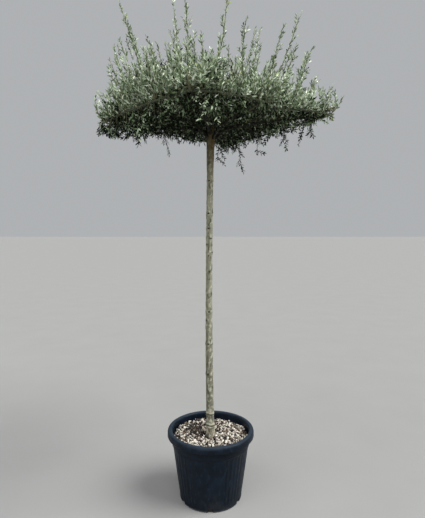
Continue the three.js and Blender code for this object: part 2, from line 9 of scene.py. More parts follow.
import bpy
import numpy as np
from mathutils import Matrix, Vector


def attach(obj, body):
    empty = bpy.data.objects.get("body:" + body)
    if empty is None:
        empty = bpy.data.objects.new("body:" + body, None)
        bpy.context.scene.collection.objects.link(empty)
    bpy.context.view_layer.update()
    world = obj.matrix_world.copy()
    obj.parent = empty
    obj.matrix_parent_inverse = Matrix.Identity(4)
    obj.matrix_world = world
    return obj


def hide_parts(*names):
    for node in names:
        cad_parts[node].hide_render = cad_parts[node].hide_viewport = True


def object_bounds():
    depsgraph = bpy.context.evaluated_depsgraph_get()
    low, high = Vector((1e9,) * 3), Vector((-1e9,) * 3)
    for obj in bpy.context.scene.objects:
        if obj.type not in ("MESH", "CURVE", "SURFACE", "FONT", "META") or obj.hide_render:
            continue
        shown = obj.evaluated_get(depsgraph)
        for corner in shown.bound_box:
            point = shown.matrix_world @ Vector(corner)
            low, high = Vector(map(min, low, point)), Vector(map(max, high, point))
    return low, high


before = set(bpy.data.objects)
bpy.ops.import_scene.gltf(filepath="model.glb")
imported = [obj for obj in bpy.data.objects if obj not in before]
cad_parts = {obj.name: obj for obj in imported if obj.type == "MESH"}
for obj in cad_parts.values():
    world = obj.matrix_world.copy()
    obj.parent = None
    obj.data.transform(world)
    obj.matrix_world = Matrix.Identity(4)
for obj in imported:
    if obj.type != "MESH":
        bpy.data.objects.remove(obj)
cad_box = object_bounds()
print("Nodes in the frame:", len(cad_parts))

# %% [markdown]
# Camera
#
# The photograph looks level at the tree from a little over a metre up, so upright lines stay upright. A
# camera that is tilted would make them lean, so this one stays level, and a small upward or downward
# shift of the picture does the framing. Blender's sensor width belongs to the long side, here the height.

# %% A level camera
PHOTO_HEIGHT = 518
FOCAL_PIXELS = 426
HORIZON_PIXEL = 235.5
SENSOR = 36
CAMERA_PLACE = (0.008, -1.940, 1.175)

lens = bpy.data.cameras.new("camera")
lens.sensor_width = SENSOR
lens.lens = FOCAL_PIXELS / PHOTO_HEIGHT * SENSOR
lens.shift_y = (HORIZON_PIXEL - PHOTO_HEIGHT / 2) / PHOTO_HEIGHT
camera = bpy.data.objects.new("camera", lens)
camera.location = CAMERA_PLACE
camera.rotation_euler = (np.pi / 2, 0, 0)
bpy.context.collection.objects.link(camera)
bpy.context.scene.camera = camera
print("Focal length in mm:", round(lens.lens, 2))

# %% [markdown]
# Shader sums as Python
#
# A material is a graph of nodes, and a long graph is hard to read as code. This class wraps one output of
# a node, so that `1 - mask * 0.5` adds the Math nodes by itself. Every other kind of node comes from one
# method of a finish: its settings are set first, because they decide which sockets it has.

# %% Wires
class Wire:
    """One output of a node. Adding, subtracting or multiplying it adds a Math node to its finish."""

    def __init__(self, finish, socket):
        self.finish = finish
        self.socket = socket

    def math(self, operation, first, second):
        """A Math node on two wires or numbers."""
        return self.finish.node("Math", {"operation": operation}, {0: first, 1: second})

    def __add__(self, other):
        return self.math("ADD", self, other)

    def __sub__(self, other):
        return self.math("SUBTRACT", self, other)

    def __rsub__(self, other):
        return self.math("SUBTRACT", other, self)

    def __mul__(self, other):
        return self.math("MULTIPLY", self, other)

    __radd__ = __add__
    __rmul__ = __mul__


print("Sums on a wire: +, - and *")

# %% Finishes and colours
# Sockets of a Mix node for colours, by number, because its other kinds use the same names
MIX_SHARE, MIX_FIRST, MIX_SECOND, MIX_RESULT = 0, 6, 7, 2


class Finish:
    """A material being made. Values that are the same all over go straight on the shader's sockets."""

    def __init__(self, name, **fixed):
        self.material = bpy.data.materials.new(name)
        self.material.use_nodes = True
        self.tree = self.material.node_tree
        self.shader = self.tree.nodes["Principled BSDF"]
        for socket, value in fixed.items():
            self.shader.inputs[socket.replace("_", " ")].default_value = value

    def node(self, kind, settings=None, inputs=None, output=0):
        """A new node: its settings first, then its inputs by name or number. Gives one of its outputs."""
        made = self.tree.nodes.new("ShaderNode" + kind)
        for name, value in (settings or {}).items():
            setattr(made, name, value)
        for name, value in (inputs or {}).items():
            if isinstance(value, Wire):
                self.tree.links.new(value.socket, made.inputs[name])
            else:
                made.inputs[name].default_value = value
        return Wire(self, made.outputs[output])

    def place(self, stretch=(1, 1, 1)):
        """The object's own coordinates in metres, times a stretch for each axis."""
        here = self.node("TexCoord", output="Object")
        return self.node("VectorMath", {"operation": "MULTIPLY"}, {0: here, 1: stretch})

    def height(self):
        """How high a point is, in metres."""
        return self.node("SeparateXYZ", inputs={0: self.place()}, output="Z")

    def noise(self, scale, detail=3, stretch=(1, 1, 1)):
        """Soft unevenness from 0 to 1, with `scale` blots to a metre."""
        return self.node(
            "TexNoise", inputs={"Vector": self.place(stretch), "Scale": scale, "Detail": detail}
        )

    def mark(self, name):
        """A number from 0 to 1 that the mesh itself carries at each point."""
        return self.node("Attribute", {"attribute_name": name}, output="Fac")

    def step(self, value, low, high):
        """0 below `low`, 1 above `high`, and a soft rise between them."""
        return self.node(
            "MapRange",
            {"interpolation_type": "SMOOTHSTEP"},
            {"Value": value, "From Min": low, "From Max": high},
        )

    def mixed(self, share, first, second):
        """One colour into another by a share from 0 to 1."""
        colours = {MIX_SHARE: share, MIX_FIRST: first, MIX_SECOND: second}
        return self.node("Mix", {"data_type": "RGBA"}, colours, MIX_RESULT)

    def coated(self, colour, *coats):
        """A colour under coats, each given as the share by which it covers and its own colour."""
        for share, coat in coats:
            colour = self.mixed(share, colour, coat)
        return colour

    def bumped(self, height, depth, strength):
        """Small relief of a depth in metres, which only the light sees."""
        normal = self.node("Bump", inputs={"Height": height, "Distance": depth, "Strength": strength})
        self.into("Normal", normal)

    def into(self, socket, wire):
        """Lets a wire feed one socket of the shader."""
        self.tree.links.new(wire.socket, self.shader.inputs[socket])


def tint(red, green, blue):
    """A colour as picked on a screen, 0 to 255, as the linear light that a shader wants."""
    screen = np.array([red, green, blue]) / 255
    linear = np.where(screen > 0.04045, ((screen + 0.055) / 1.055) ** 2.4, screen / 12.92)
    return (*linear.tolist(), 1.0)


print("Middle grey in linear light:", round(tint(128, 128, 128)[0], 3))

# %% [markdown]
# Floor and light
#
# The tree stands on a plain pale floor under a soft overcast sky. A sky alone would light the crown's
# underside as much as its top, so most of the light comes from a very wide sun above the viewer's right
# shoulder, whose shadows are as soft as a large lamp's but which lights the floor evenly to the horizon.
# A weaker one on the left keeps the other side of the trunk from going dark.

# %% Floor, sky and suns
FLOOR_REACH = 400
SKY_STRENGTH = 0.55

floor_mesh = bpy.data.meshes.new("floor")
floor_corners = [(x * FLOOR_REACH, y * FLOOR_REACH, 0) for x, y in ((-1, -1), (1, -1), (1, 1), (-1, 1))]
floor_mesh.from_pydata(floor_corners, [], [(0, 1, 2, 3)])
floor = bpy.data.objects.new("floor", floor_mesh)
bpy.context.collection.objects.link(floor)

pale = Finish("pale_floor", Roughness=0.9, Specular_IOR_Level=0.1)
pale.into("Base Color", pale.mixed(pale.noise(3), tint(146, 146, 144), tint(152, 152, 150)))
floor_mesh.materials.append(pale.material)

bpy.context.scene.view_settings.view_transform = "Standard"
sky = bpy.data.worlds.new("sky")
sky.use_nodes = True
sky.node_tree.nodes["Background"].inputs["Color"].default_value = tint(228, 231, 234)
sky.node_tree.nodes["Background"].inputs["Strength"].default_value = SKY_STRENGTH
bpy.context.scene.world = sky


def sun(name, azimuth, elevation, spread, strength):
    """A soft sun. Azimuth is its turn from behind the viewer towards their right, in degrees."""
    light = bpy.data.lights.new(name, "SUN")
    light.angle = np.radians(spread)
    light.energy = strength
    lit = bpy.data.objects.new(name, light)
    lit.rotation_euler = (np.radians(90 - elevation), 0, np.radians(azimuth))
    bpy.context.collection.objects.link(lit)


sun("key_sun", azimuth=74, elevation=48, spread=40, strength=3.6)
sun("fill_sun", azimuth=-25, elevation=30, spread=90, strength=2.0)

# %% [markdown]
# Meshes from arrays
#
# Every piece below but the leaves is made of grids of points: rows along it and columns round it. Arrays
# of numbers go into a mesh in one call, which is much quicker than adding points one by one. Rows and
# columns are joined by triangles that face outwards, and each end is closed by a fan round its centre.

# %% Grids and tubes
def grid_faces(rows, columns):
    """Triangles of a tube. Each cell joins its row to the next and its column to the next one round."""
    row, column = np.meshgrid(np.arange(rows - 1), np.arange(columns), indexing="ij")
    here = row * columns + column
    beside = row * columns + (column + 1) % columns
    cell = np.stack([here, beside, beside + columns, here + columns], -1).reshape(-1, 4)
    return np.concatenate([cell[:, [0, 1, 2]], cell[:, [0, 2, 3]]])


def closed_tubes(grids, first, last):
    """Points and triangles of many tubes, from grids (tubes, rows, columns, 3) and their end centres."""
    tubes, rows, columns, _ = grids.shape
    skin = grids.reshape(tubes, rows * columns, 3)
    points = np.concatenate([skin, first[:, None], last[:, None]], 1)
    column = np.arange(columns)
    beside = (column + 1) % columns
    start = np.full(columns, rows * columns)
    top = (rows - 1) * columns
    faces = np.concatenate([
        grid_faces(rows, columns),
        np.stack([start, beside, column], -1),
        np.stack([start + 1, top + column, top + beside], -1),
    ])
    offsets = np.arange(tubes)[:, None, None] * points.shape[1]
    return points.reshape(-1, 3), (faces[None] + offsets).reshape(-1, 3)


print("A tube of 3 rows and 4 columns has", len(grid_faces(3, 4)), "triangles in its skin")

# %% Pieces
MM = 0.001
triangles = {}


def piece(name, points, faces, finishes, nodes, smooth=True, finish_of_face=None, marks=None):
    """A mesh piece, from points in mm and triangles, that rides with the tree and stands for nodes. Marks
    are numbers over the skin of one closed tube, and 0 at its two end centres."""
    mesh = bpy.data.meshes.new(name)
    mesh.vertices.add(len(points))
    mesh.vertices.foreach_set("co", np.ascontiguousarray(points * MM, np.float32).ravel())
    mesh.loops.add(faces.size)
    mesh.loops.foreach_set("vertex_index", np.ascontiguousarray(faces, np.int32).ravel())
    mesh.polygons.add(len(faces))
    mesh.polygons.foreach_set("loop_start", np.arange(0, faces.size, 3, dtype=np.int32))
    mesh.polygons.foreach_set("use_smooth", np.full(len(faces), smooth))
    for finish in finishes:
        mesh.materials.append(finish.material)
    if finish_of_face is not None:
        mesh.polygons.foreach_set("material_index", finish_of_face.astype(np.int32))
    for mark, values in (marks or {}).items():
        layer = mesh.attributes.new(mark, "FLOAT", "POINT")
        layer.data.foreach_set("value", np.append(values, [0, 0]).astype(np.float32))
    mesh.update(calc_edges=True)
    made = bpy.data.objects.new(name, mesh)
    bpy.context.collection.objects.link(made)
    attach(made, "root")
    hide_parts(*nodes)
    triangles[name] = len(faces)
    return made


print("Pieces so far:", len(triangles))

# %% Shares, vectors and turns
GOLDEN_TURN = np.pi * (3 - np.sqrt(5))
# Multiples of these steps, less their whole numbers, spread evenly along a line and over a square
GOLDEN_STEP = 0.618034
PLASTIC_STEPS = (0.7548776662, 0.5698402910)
UP = np.array([0.0, 0.0, 1.0])


def blend(first, second, share):
    """The first value and a share of the way from it to the second: a + (b - a) s."""
    return first + (second - first) * share


def ease(share):
    """0 to 1 with a soft start and end: 3 s² - 2 s³."""
    held = np.clip(share, 0, 1)
    return held * held * (3 - 2 * held)


def fraction(value):
    """What a value has over its whole number."""
    return value - np.floor(value)


def length_of(vectors):
    """Lengths of the vectors along the last axis."""
    return np.linalg.norm(vectors, axis=-1)


def unit(vectors):
    """The same vectors made of length 1, while one of length 0 stays as it is."""
    return vectors / np.maximum(length_of(vectors)[..., None], 1e-9)


def turns(count):
    """Even angles round a full turn."""
    return np.arange(count) * 2 * np.pi / count


def half_turn(angle):
    """The same angle between minus and plus half a turn."""
    return np.mod(angle + np.pi, 2 * np.pi) - np.pi


def turned(first, second, angle):
    """Two coordinates turned about the third axis: c first - s second, and s first + c second."""
    c, s = np.cos(angle), np.sin(angle)
    return c * first - s * second, s * first + c * second


def by_golden_turn(away, number):
    """Places at distances from the middle, each a golden turn further round than the last."""
    return away * np.cos(number * GOLDEN_TURN), away * np.sin(number * GOLDEN_TURN)


def on_circle(radius, angle, height):
    """Points at a radius and an angle round the upright axis, at a height."""
    spot = np.broadcast_arrays(radius * np.cos(angle), radius * np.sin(angle), height + 0 * angle)
    return np.stack(spot, -1)


print("Golden turn in degrees:", round(float(np.degrees(GOLDEN_TURN)), 2))

# %% Soft unevenness
RIPPLE_WAVES = 28


def ripple(points, size, seed, stretch=(1, 1, 1)):
    """Soft unevenness of about -1 to 1: a sum of cosines in random directions, of wavelengths near
    the size. Being worked out in space, it has no seam round a trunk."""
    dice = np.random.default_rng(seed)
    directions = unit(dice.normal(size=(RIPPLE_WAVES, 3))) * np.array(stretch)
    pitch = 2 * np.pi / (size * dice.uniform(0.6, 1.6, (RIPPLE_WAVES, 1)))
    phases = dice.uniform(0, 2 * np.pi, RIPPLE_WAVES)
    return np.cos(points @ (directions * pitch).T + phases).sum(-1) / np.sqrt(RIPPLE_WAVES)


print("Ripple at one place:", round(float(ripple(np.zeros((1, 3)), 10, 1)[0]), 3))

# %% [markdown]
# Pot
#
# A nursery pot is blown or moulded in thin black plastic, so all its walls are one profile turned about
# an axis: a flat floor, a tapered wall, a stepped collar, and a rolled lip that hangs over the collar.
# Upright flutes stiffen the wall in bands between plain panels, and slots at the foot let water out.
# Turning the profile on a grid and moving each point in or out by its angle gives all of that in one
# closed skin. The profile's corners are cut twice, which rounds them as a mould does.

# %% Sizes of the pot
POT_HEIGHT = 302
RIM_RADIUS = 195
MOUTH_RADIUS = 176
FOOT_RADIUS = 137
POT_WALL = 3
POT_FLOOR = 4.5
LIP_FOOT = 274
LIP_ROUND = 9
COLLAR_FOOT = 236
COLLAR_STEP = 3
FOOT_BAND = 9
FOOT_BEAD = 1.1
DRAIN_SLOTS = 6
DRAIN_WIDTH = 22
DRAIN_HEIGHT = 18
DRAIN_DEPTH = 7.5


def pot_radius(height):
    """Outer radius of the tapered wall, straight from the foot to the lip's lower edge."""
    return blend(FOOT_RADIUS, MOUTH_RADIUS, height / LIP_FOOT)


def on_wall(height, out=0):
    """A point of the profile on the tapered wall, or a distance out from it."""
    return pot_radius(height) + out, height


print("Radius of the wall at half its height:", round(pot_radius(POT_HEIGHT / 2), 1), "mm")

# %% Rounded corners and short steps
LARGEST_CUT = 0.3


def rounded(outline, cut):
    """Each inner corner gives way to two points, a cut before and after it but at most LARGEST_CUT of
    the way to the next corner."""
    before, corner, after = outline[:-2], outline[1:-1], outline[2:]
    ends = []
    for near in (before, after):
        far = np.linalg.norm(near - corner, axis=1, keepdims=True)
        ends.append(corner + (near - corner) * np.minimum(LARGEST_CUT, cut / far))
    return np.concatenate([outline[:1], np.stack(ends, 1).reshape(-1, 2), outline[-1:]])


def filled_in(outline, longest):
    """The same line with more points, so that no step is longer than the longest."""
    counts = np.ceil(np.linalg.norm(np.diff(outline, axis=0), axis=1) / longest).astype(int)
    starts = np.repeat(np.arange(len(counts)), counts)
    shares = (np.arange(counts.sum()) - np.repeat(np.cumsum(counts) - counts, counts)) / counts[starts]
    return np.concatenate([blend(outline[starts], outline[starts + 1], shares[:, None]), outline[-1:]])


print("Points on 100 mm in steps of at most 16:", len(filled_in(np.array([[0.0, 0], [100, 0]]), 16)))

# %% Profile of the pot
FIRST_CUT = 1.2
SECOND_CUT = 0.5
LONGEST_STEP = 16

skirt = RIM_RADIUS - POT_WALL
under_lip = POT_HEIGHT - 2 * POT_WALL
pot_keys = np.array([
    (FOOT_RADIUS - 3, 0),
    on_wall(2, FOOT_BEAD),
    on_wall(FOOT_BAND, FOOT_BEAD),
    on_wall(FOOT_BAND + 2),
    on_wall(DRAIN_HEIGHT - 0.5),
    on_wall(DRAIN_HEIGHT + 0.5),
    on_wall(COLLAR_FOOT - 2),
    on_wall(COLLAR_FOOT, COLLAR_STEP),
    (MOUTH_RADIUS + COLLAR_STEP, under_lip),
    (skirt - LIP_ROUND / 2, under_lip),
    (skirt, LIP_FOOT + LIP_ROUND),
    (skirt, LIP_FOOT),
    (RIM_RADIUS, LIP_FOOT),
    (RIM_RADIUS, POT_HEIGHT - LIP_ROUND),
    (RIM_RADIUS - LIP_ROUND * 0.3, POT_HEIGHT - LIP_ROUND * 0.3),
    (RIM_RADIUS - LIP_ROUND, POT_HEIGHT),
    (MOUTH_RADIUS + 1, POT_HEIGHT),
    (MOUTH_RADIUS - POT_WALL, under_lip),
    on_wall(LIP_FOOT, -POT_WALL),
    on_wall(DRAIN_HEIGHT, -POT_WALL),
    on_wall(POT_FLOOR, -POT_WALL),
])
pot_line = filled_in(rounded(rounded(pot_keys, FIRST_CUT), SECOND_CUT), LONGEST_STEP)
print("Points along the pot's profile:", len(pot_line))

# %% Flutes, slots and the skin of the pot
FLUTES = 48
FLUTE_DEPTH = 1.3
FLUTE_RISE = 20
FLUTE_END = 8
PANELS = 4
PANEL_SHARE = 0.55
PANEL_SHIFT = 0.09
POT_COLUMNS = 480

turn = turns(POT_COLUMNS)
radius, level = pot_line[:, 0, None], pot_line[:, 1, None]
is_outside = (np.arange(len(pot_line)) < np.argmax(pot_line[:, 1]))[:, None]


def from_band_middle(bands, shift):
    """How far each column is from its band's middle, in bands, with the first one at the front."""
    return np.abs(fraction((turn + np.pi / 2 + shift) * bands / (2 * np.pi) + 0.5) - 0.5)


# A flute is a wave round the pot, faded out over the plain panels and at both ends of the wall
fluted = ease((from_band_middle(PANELS, PANEL_SHIFT) - PANEL_SHARE / 2) * FLUTE_RISE)
window = ease((level - DRAIN_HEIGHT - 3) / FLUTE_END) * ease((COLLAR_FOOT - 6 - level) / FLUTE_END)
flutes = -FLUTE_DEPTH * (0.5 + 0.5 * np.cos(FLUTES * turn)) * fluted * window * is_outside

# A slot is a dent that runs up from the pot's foot
slot_gap = from_band_middle(DRAIN_SLOTS, 0) * 2 * np.pi / DRAIN_SLOTS * FOOT_RADIUS
in_slot = (slot_gap < DRAIN_WIDTH / 2) & (level <= DRAIN_HEIGHT + 0.1)

# Thin plastic is never quite round: it bulges and sags by a fraction of a millimetre
sag = 0.5 * np.sin(2 * turn + 1) * np.sin(level / 90) + 0.25 * np.sin(5 * turn + level / 60)
reach = radius + flutes - DRAIN_DEPTH * in_slot + sag
pot_ends = np.array([[[0.0, 0, 0]], [[0.0, 0, POT_FLOOR]]])
pot_points, pot_faces = closed_tubes(on_circle(reach, turn, level)[None], *pot_ends)
print("Triangles of the pot:", len(pot_faces))

# %% [markdown]
# The plastic is blue-black with a satin sheen. A used pot is never clean: fine dust lies on the lip and
# low on the wall, upright scuffs catch the light, and the wall is a little browner at its foot, where
# splashes dry. The lip is also painted paler as a sky sheen, with a painted highlight along its crest, and
# painted shadows darken the collar's foot, the wall under the lip and the drain slots. So its colour and
# its roughness both follow the height and two soft noises.

# %% Finish of the pot
plastic = Finish("blue_black_plastic", Specular_IOR_Level=0.16)
tall = plastic.height()
scuffs = plastic.step(plastic.noise(90, 4, (1, 1, 0.45)), 0.52, 0.72)
blots = plastic.step(plastic.noise(22, 4), 0.42, 0.7)
low_splash = 1 - plastic.step(tall, 0.004, 0.12)
on_foot = 1 - plastic.step(tall, 0.003, 0.009)
# The lip is paler: fine dust, and a painted sheen of the sky
lip_dust_and_sheen = plastic.step(tall, 0.284, 0.302)
# A painted highlight of the sky along the lip's crest
lip_crest_highlight = plastic.step(tall, 0.2985, 0.3015)
# A painted shadow line under the collar's step
collar_shadow_line = plastic.step(tall, 0.2315, 0.2335) * (1 - plastic.step(tall, 0.2362, 0.239))
plastic.into("Base Color", plastic.coated(
    plastic.mixed(blots, tint(4, 14, 25), tint(10, 23, 36)),
    (scuffs * 0.3, tint(34, 48, 62)),
    (low_splash * blots * 0.4, tint(44, 42, 38)),
    (lip_dust_and_sheen * (0.2 + blots * 0.3), tint(40, 52, 64)),
    (lip_crest_highlight * 0.3, tint(58, 70, 82)),
    (on_foot * 0.5, tint(92, 96, 98)),
    # Painted shadow, nearly black, under the lip and under the collar's step
    (plastic.mark("under_lip") * 0.9 + collar_shadow_line * 0.95, tint(2, 4, 8)),
    # Painted shade, nearly black, inside the drain slots' dents
    (plastic.mark("slot") * 0.95, tint(6, 6, 7)),
))
plastic.into("Roughness", 0.42 + 0.2 * blots + 0.15 * low_splash + 0.25 * lip_crest_highlight)
plastic.bumped(plastic.noise(420, 3), 0.0004, 0.5)

# A painted shadow darkens the wall and the collar under the lip that hangs over them: from a height, and
# over a rise
LIP_SHADE = (256, 16)
below_lip = is_outside & (level < LIP_FOOT + 1) & (radius < MOUTH_RADIUS + 6)
lip_shade = ease((level - LIP_SHADE[0]) / LIP_SHADE[1]) * below_lip + 0 * turn
# The slot and under_lip marks carry painted shade into the finish
pot = piece(
    "pot_shell", pot_points, pot_faces, [plastic], ["pot"],
    marks={"slot": in_slot & is_outside, "under_lip": lip_shade},
)
print("Made", pot.name)

# %% [markdown]
# Growing medium and mulch
#
# The pot is full of dark compost, and a layer of pale wood chips covers it, apart from one bare hollow.
# The compost is a closed body like the solid it replaces, with a finely uneven top. The chips are small
# angular flakes: each is a short stack of three uneven six-sided rings, which costs 36 triangles. They
# are spread by the golden turn, which fills a disc evenly, and then tilted and nudged by a seeded dice.

# %% Top of the compost
SOIL_HEIGHT = 265
SOIL_EDGE_DROP = 4
SOIL_SWELL = 5
HOLLOW_DEPTH = 13
HOLLOW_RADIUS = 42
HOLLOW_PLACE = (-66, 55)
FLARE_RADIUS = 25
SOIL_COLUMNS = 180
SOIL_RINGS = 90
SOIL_CRUMB = 1.5
CLEARANCE = 0.3


def hollow_share(x, y):
    """Distance from the middle of the hollow, in radii of the hollow."""
    return np.hypot(x - HOLLOW_PLACE[0], y - HOLLOW_PLACE[1]) / HOLLOW_RADIUS


def soil_top(x, y):
    """Level under the trunk, gently waved elsewhere, and sunk in the hollow."""
    clear = ease((np.hypot(x, y) - 1.4 * FLARE_RADIUS) / (0.7 * FLARE_RADIUS))
    swell = SOIL_SWELL * np.sin(x / 47 + 0.6) * np.cos(y / 39)
    return SOIL_HEIGHT + clear * (swell - HOLLOW_DEPTH * (1 - ease(hollow_share(x, y))))


soil_turn = turns(SOIL_COLUMNS)
soil_edge = pot_radius(SOIL_HEIGHT) - POT_WALL - CLEARANCE
walls = np.array([POT_FLOOR + CLEARANCE, 60, 120, 180, 240, SOIL_HEIGHT - SOIL_EDGE_DROP])[:, None]
wall_grid = on_circle(pot_radius(walls) - POT_WALL - CLEARANCE, soil_turn, walls)
ring = np.linspace(0.985, 0.01, SOIL_RINGS)[:, None] * soil_edge
flat = on_circle(ring, soil_turn, 0)
crumbs = ripple(flat, 9, 21) * SOIL_CRUMB * ease((ring - 24) / 20)
top_grid = flat + UP * (soil_top(flat[..., 0], flat[..., 1]) + crumbs - SOIL_CRUMB)[..., None]
soil_ends = np.array([[[0.0, 0, walls[0, 0]]], [[0.0, 0, SOIL_HEIGHT - SOIL_CRUMB]]])
soil_points, soil_faces = closed_tubes(np.concatenate([wall_grid, top_grid])[None], *soil_ends)
print("Triangles of the compost:", len(soil_faces))

# %% Flakes
RING_RADII = np.array([0.8, 1.0, 0.7])
RING_HEIGHTS = np.array([-0.5, 0.05, 0.5])
CORNER_VARIES = (0.72, 1.18)
CORNER_LIFT = 0.14


def flakes(centre, size, tilt, spin, dice):
    """Angular flakes of length, width and thickness `size`: three six-sided rings, each corner nudged by
    a dice, then tilted, spun and moved to their centres."""
    count = len(centre)
    corner = turns(6)
    rings = RING_RADII[None, :, None] * dice.uniform(*CORNER_VARIES, (count, 3, 6))
    lifts = dice.uniform(-CORNER_LIFT, CORNER_LIFT, (count, 3, 6))
    height = RING_HEIGHTS[None, :, None] + lifts
    local = np.stack([rings * np.cos(corner), rings * np.sin(corner), height], -1) * size[:, None, None]
    local[..., :2] *= 0.5
    x, y, z = np.moveaxis(local, -1, 0)
    y, z = turned(y, z, tilt[:, 0, None, None])
    z, x = turned(z, x, tilt[:, 1, None, None])
    x, y = turned(x, y, spin[:, None, None])
    grids = np.stack([x, y, z], -1) + centre[:, None, None]
    return closed_tubes(grids, grids[:, 0].mean(1), grids[:, -1].mean(1))


def spread(count, inner, outer):
    """Places spread evenly over a ring-shaped area by the golden turn."""
    share = (np.arange(count) + 0.5) / count
    return by_golden_turn(np.sqrt(blend(inner**2, outer**2, share)), np.arange(count))


reach_of_places = np.hypot(*spread(200, 0, 50)).max()
print("Furthest of 200 places spread over 50 mm:", round(float(reach_of_places), 1), "mm")

# %% Chips of mulch
CHIP_COUNT = 1500
CHIP_LONG = (9, 19)
CHIP_WIDE = (0.42, 0.75)
CHIP_THICK = (3.0, 6.0)
CHIP_RISE = (-0.5, 8.5)
CHIP_NUDGE = 2.2
CHIP_TILT = 0.55
STRAY_CHIPS = 0.06
BARE_SHIFT = (-4, 8)
BARE_REACH = (40, 66)
BIG_CHIPS = 18
BIG_CHIP = (30, 17, 9)
BIG_CHIP_RISE = 2.5

dice = np.random.default_rng(40)


def bare_share(x, y):
    """Below 1 in the bare patch, which is longer in depth than the hollow and frayed at its rim."""
    across = (x - HOLLOW_PLACE[0] - BARE_SHIFT[0]) / BARE_REACH[0]
    away = (y - HOLLOW_PLACE[1] - BARE_SHIFT[1]) / BARE_REACH[1]
    frayed = 0.16 * np.sin(x / 5.0 + y / 9.0) + 0.12 * np.sin(y / 6.0 - x / 11.0)
    return np.hypot(across, away) + frayed


chip_x, chip_y = spread(CHIP_COUNT, FLARE_RADIUS + 7, soil_edge - 5)
chip_x = chip_x + dice.normal(0, CHIP_NUDGE, CHIP_COUNT)
chip_y = chip_y + dice.normal(0, CHIP_NUDGE, CHIP_COUNT)
kept = (bare_share(chip_x, chip_y) > 1) | (dice.random(CHIP_COUNT) < STRAY_CHIPS)
kept &= np.hypot(chip_x, chip_y) < soil_edge - 4
kept &= np.hypot(chip_x, chip_y) > FLARE_RADIUS + 4
chip_x, chip_y = chip_x[kept], chip_y[kept]
chips = len(chip_x)
length = dice.uniform(*CHIP_LONG, chips)
width = length * dice.uniform(*CHIP_WIDE, chips)
chip_size = np.stack([length, width, dice.uniform(*CHIP_THICK, chips)], -1)
chip_rise = dice.uniform(*CHIP_RISE, chips)
chip_centre = np.stack([chip_x, chip_y, soil_top(chip_x, chip_y) + chip_rise], -1)
chip_tilt = dice.normal(0, CHIP_TILT, (chips, 2))
chip_spin = dice.uniform(0, 2 * np.pi, chips)

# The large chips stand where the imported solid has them
big = np.arange(BIG_CHIPS)
big_share = np.sqrt(fraction(0.5 + big * PLASTIC_STEPS[0]))
big_away = blend(FLARE_RADIUS + BIG_CHIP[0], soil_edge - BIG_CHIP[0], big_share)
big_x, big_y = by_golden_turn(big_away, big)
big = big[hollow_share(big_x, big_y) > 1]
big_x, big_y = big_x[big], big_y[big]
big_size = np.array(BIG_CHIP) * (0.7 + 0.6 * fraction(big * PLASTIC_STEPS[1]))[:, None]
big_centre = np.stack([big_x, big_y, soil_top(big_x, big_y) + BIG_CHIP_RISE], -1)
big_tilt = np.stack([0.5 * np.sin(7 * big), 0.35 * np.cos(5 * big)], -1)

flake_points, flake_faces = flakes(
    np.concatenate([chip_centre, big_centre]),
    np.concatenate([chip_size, big_size]),
    np.concatenate([chip_tilt, big_tilt]),
    np.concatenate([chip_spin, 4.0 * big]),
    dice,
)
print("Chips:", chips + len(big), "with", len(flake_faces), "triangles")

# %% [markdown]
# Fresh chips are cream, older ones tan, grey or brown, and a few are dark scraps of bark. Each chip keeps
# one plain colour, so the colours are dealt out chip by chip as separate finishes, and each finish adds
# only a fine grain. The compost is nearly black where it is damp, and browner where it has dried.

# %% Finish of the compost
compost = Finish("dark_compost", Roughness=0.95)
damp = compost.step(compost.noise(60, 5), 0.35, 0.68)
fibres = compost.step(compost.noise(700, 4, (1, 0.4, 1)), 0.6, 0.72)
compost.into("Base Color", compost.coated(
    tint(14, 11, 9), (damp, tint(36, 30, 25)), (fibres * 0.5, tint(66, 57, 47)),
))
compost.bumped(compost.noise(520, 6), 0.002, 0.9)

soil = piece("compost", soil_points, soil_faces, [compost], ["growing_medium"])
print("Made", soil.name)

# %% Chips in six tones
def chip_finish(name, light, dark):
    """Rough wood with a fine grain that runs from one tone to a darker one."""
    chip = Finish(name, Roughness=0.88)
    grain = chip.step(chip.noise(260, 4, (1, 0.35, 1)), 0.34, 0.7)
    chip.into("Base Color", chip.mixed(grain, light, dark))
    chip.bumped(chip.noise(900, 3, (1, 0.3, 1)), 0.0006, 0.7)
    return chip


chip_finishes = [
    chip_finish("cream_chip", tint(232, 227, 216), tint(196, 187, 170)),
    chip_finish("pale_chip", tint(188, 181, 170), tint(142, 133, 119)),
    chip_finish("grey_chip", tint(132, 127, 118), tint(90, 85, 78)),
    chip_finish("tan_chip", tint(118, 101, 82), tint(78, 64, 50)),
    chip_finish("brown_chip", tint(66, 51, 40), tint(40, 30, 23)),
    chip_finish("bark_scrap", tint(30, 24, 20), tint(16, 13, 11)),
]
CHIP_SHARES = (0.25, 0.22, 0.13, 0.1, 0.14, 0.16)
DARKEST = len(CHIP_SHARES) - 1
DARK_AT_FOOT = 0.6

# More dark scraps than elsewhere lie against the trunk's foot
chip_kind = dice.choice(len(chip_finishes), chips + len(big), p=CHIP_SHARES)
at_foot = np.hypot(chip_x, chip_y) < FLARE_RADIUS + 16
chip_kind[:chips][at_foot & (dice.random(chips) < DARK_AT_FOOT)] = DARKEST
mulch = piece(
    "wood_chips", flake_points, flake_faces, chip_finishes, ["growing_medium"],
    smooth=False, finish_of_face=np.repeat(chip_kind, len(flake_faces) // len(chip_kind)),
)
print("Made", mulch.name)

# %% Crumbs in the hollow
CRUMB_SHARES = (0.1, 0.14, 0.14, 0.22, 0.4)
CRUMB_COUNT = 420
CRUMB_SIZE = (2.0, 5.5)
CRUMB_STRETCH = (0.95, 1.55)

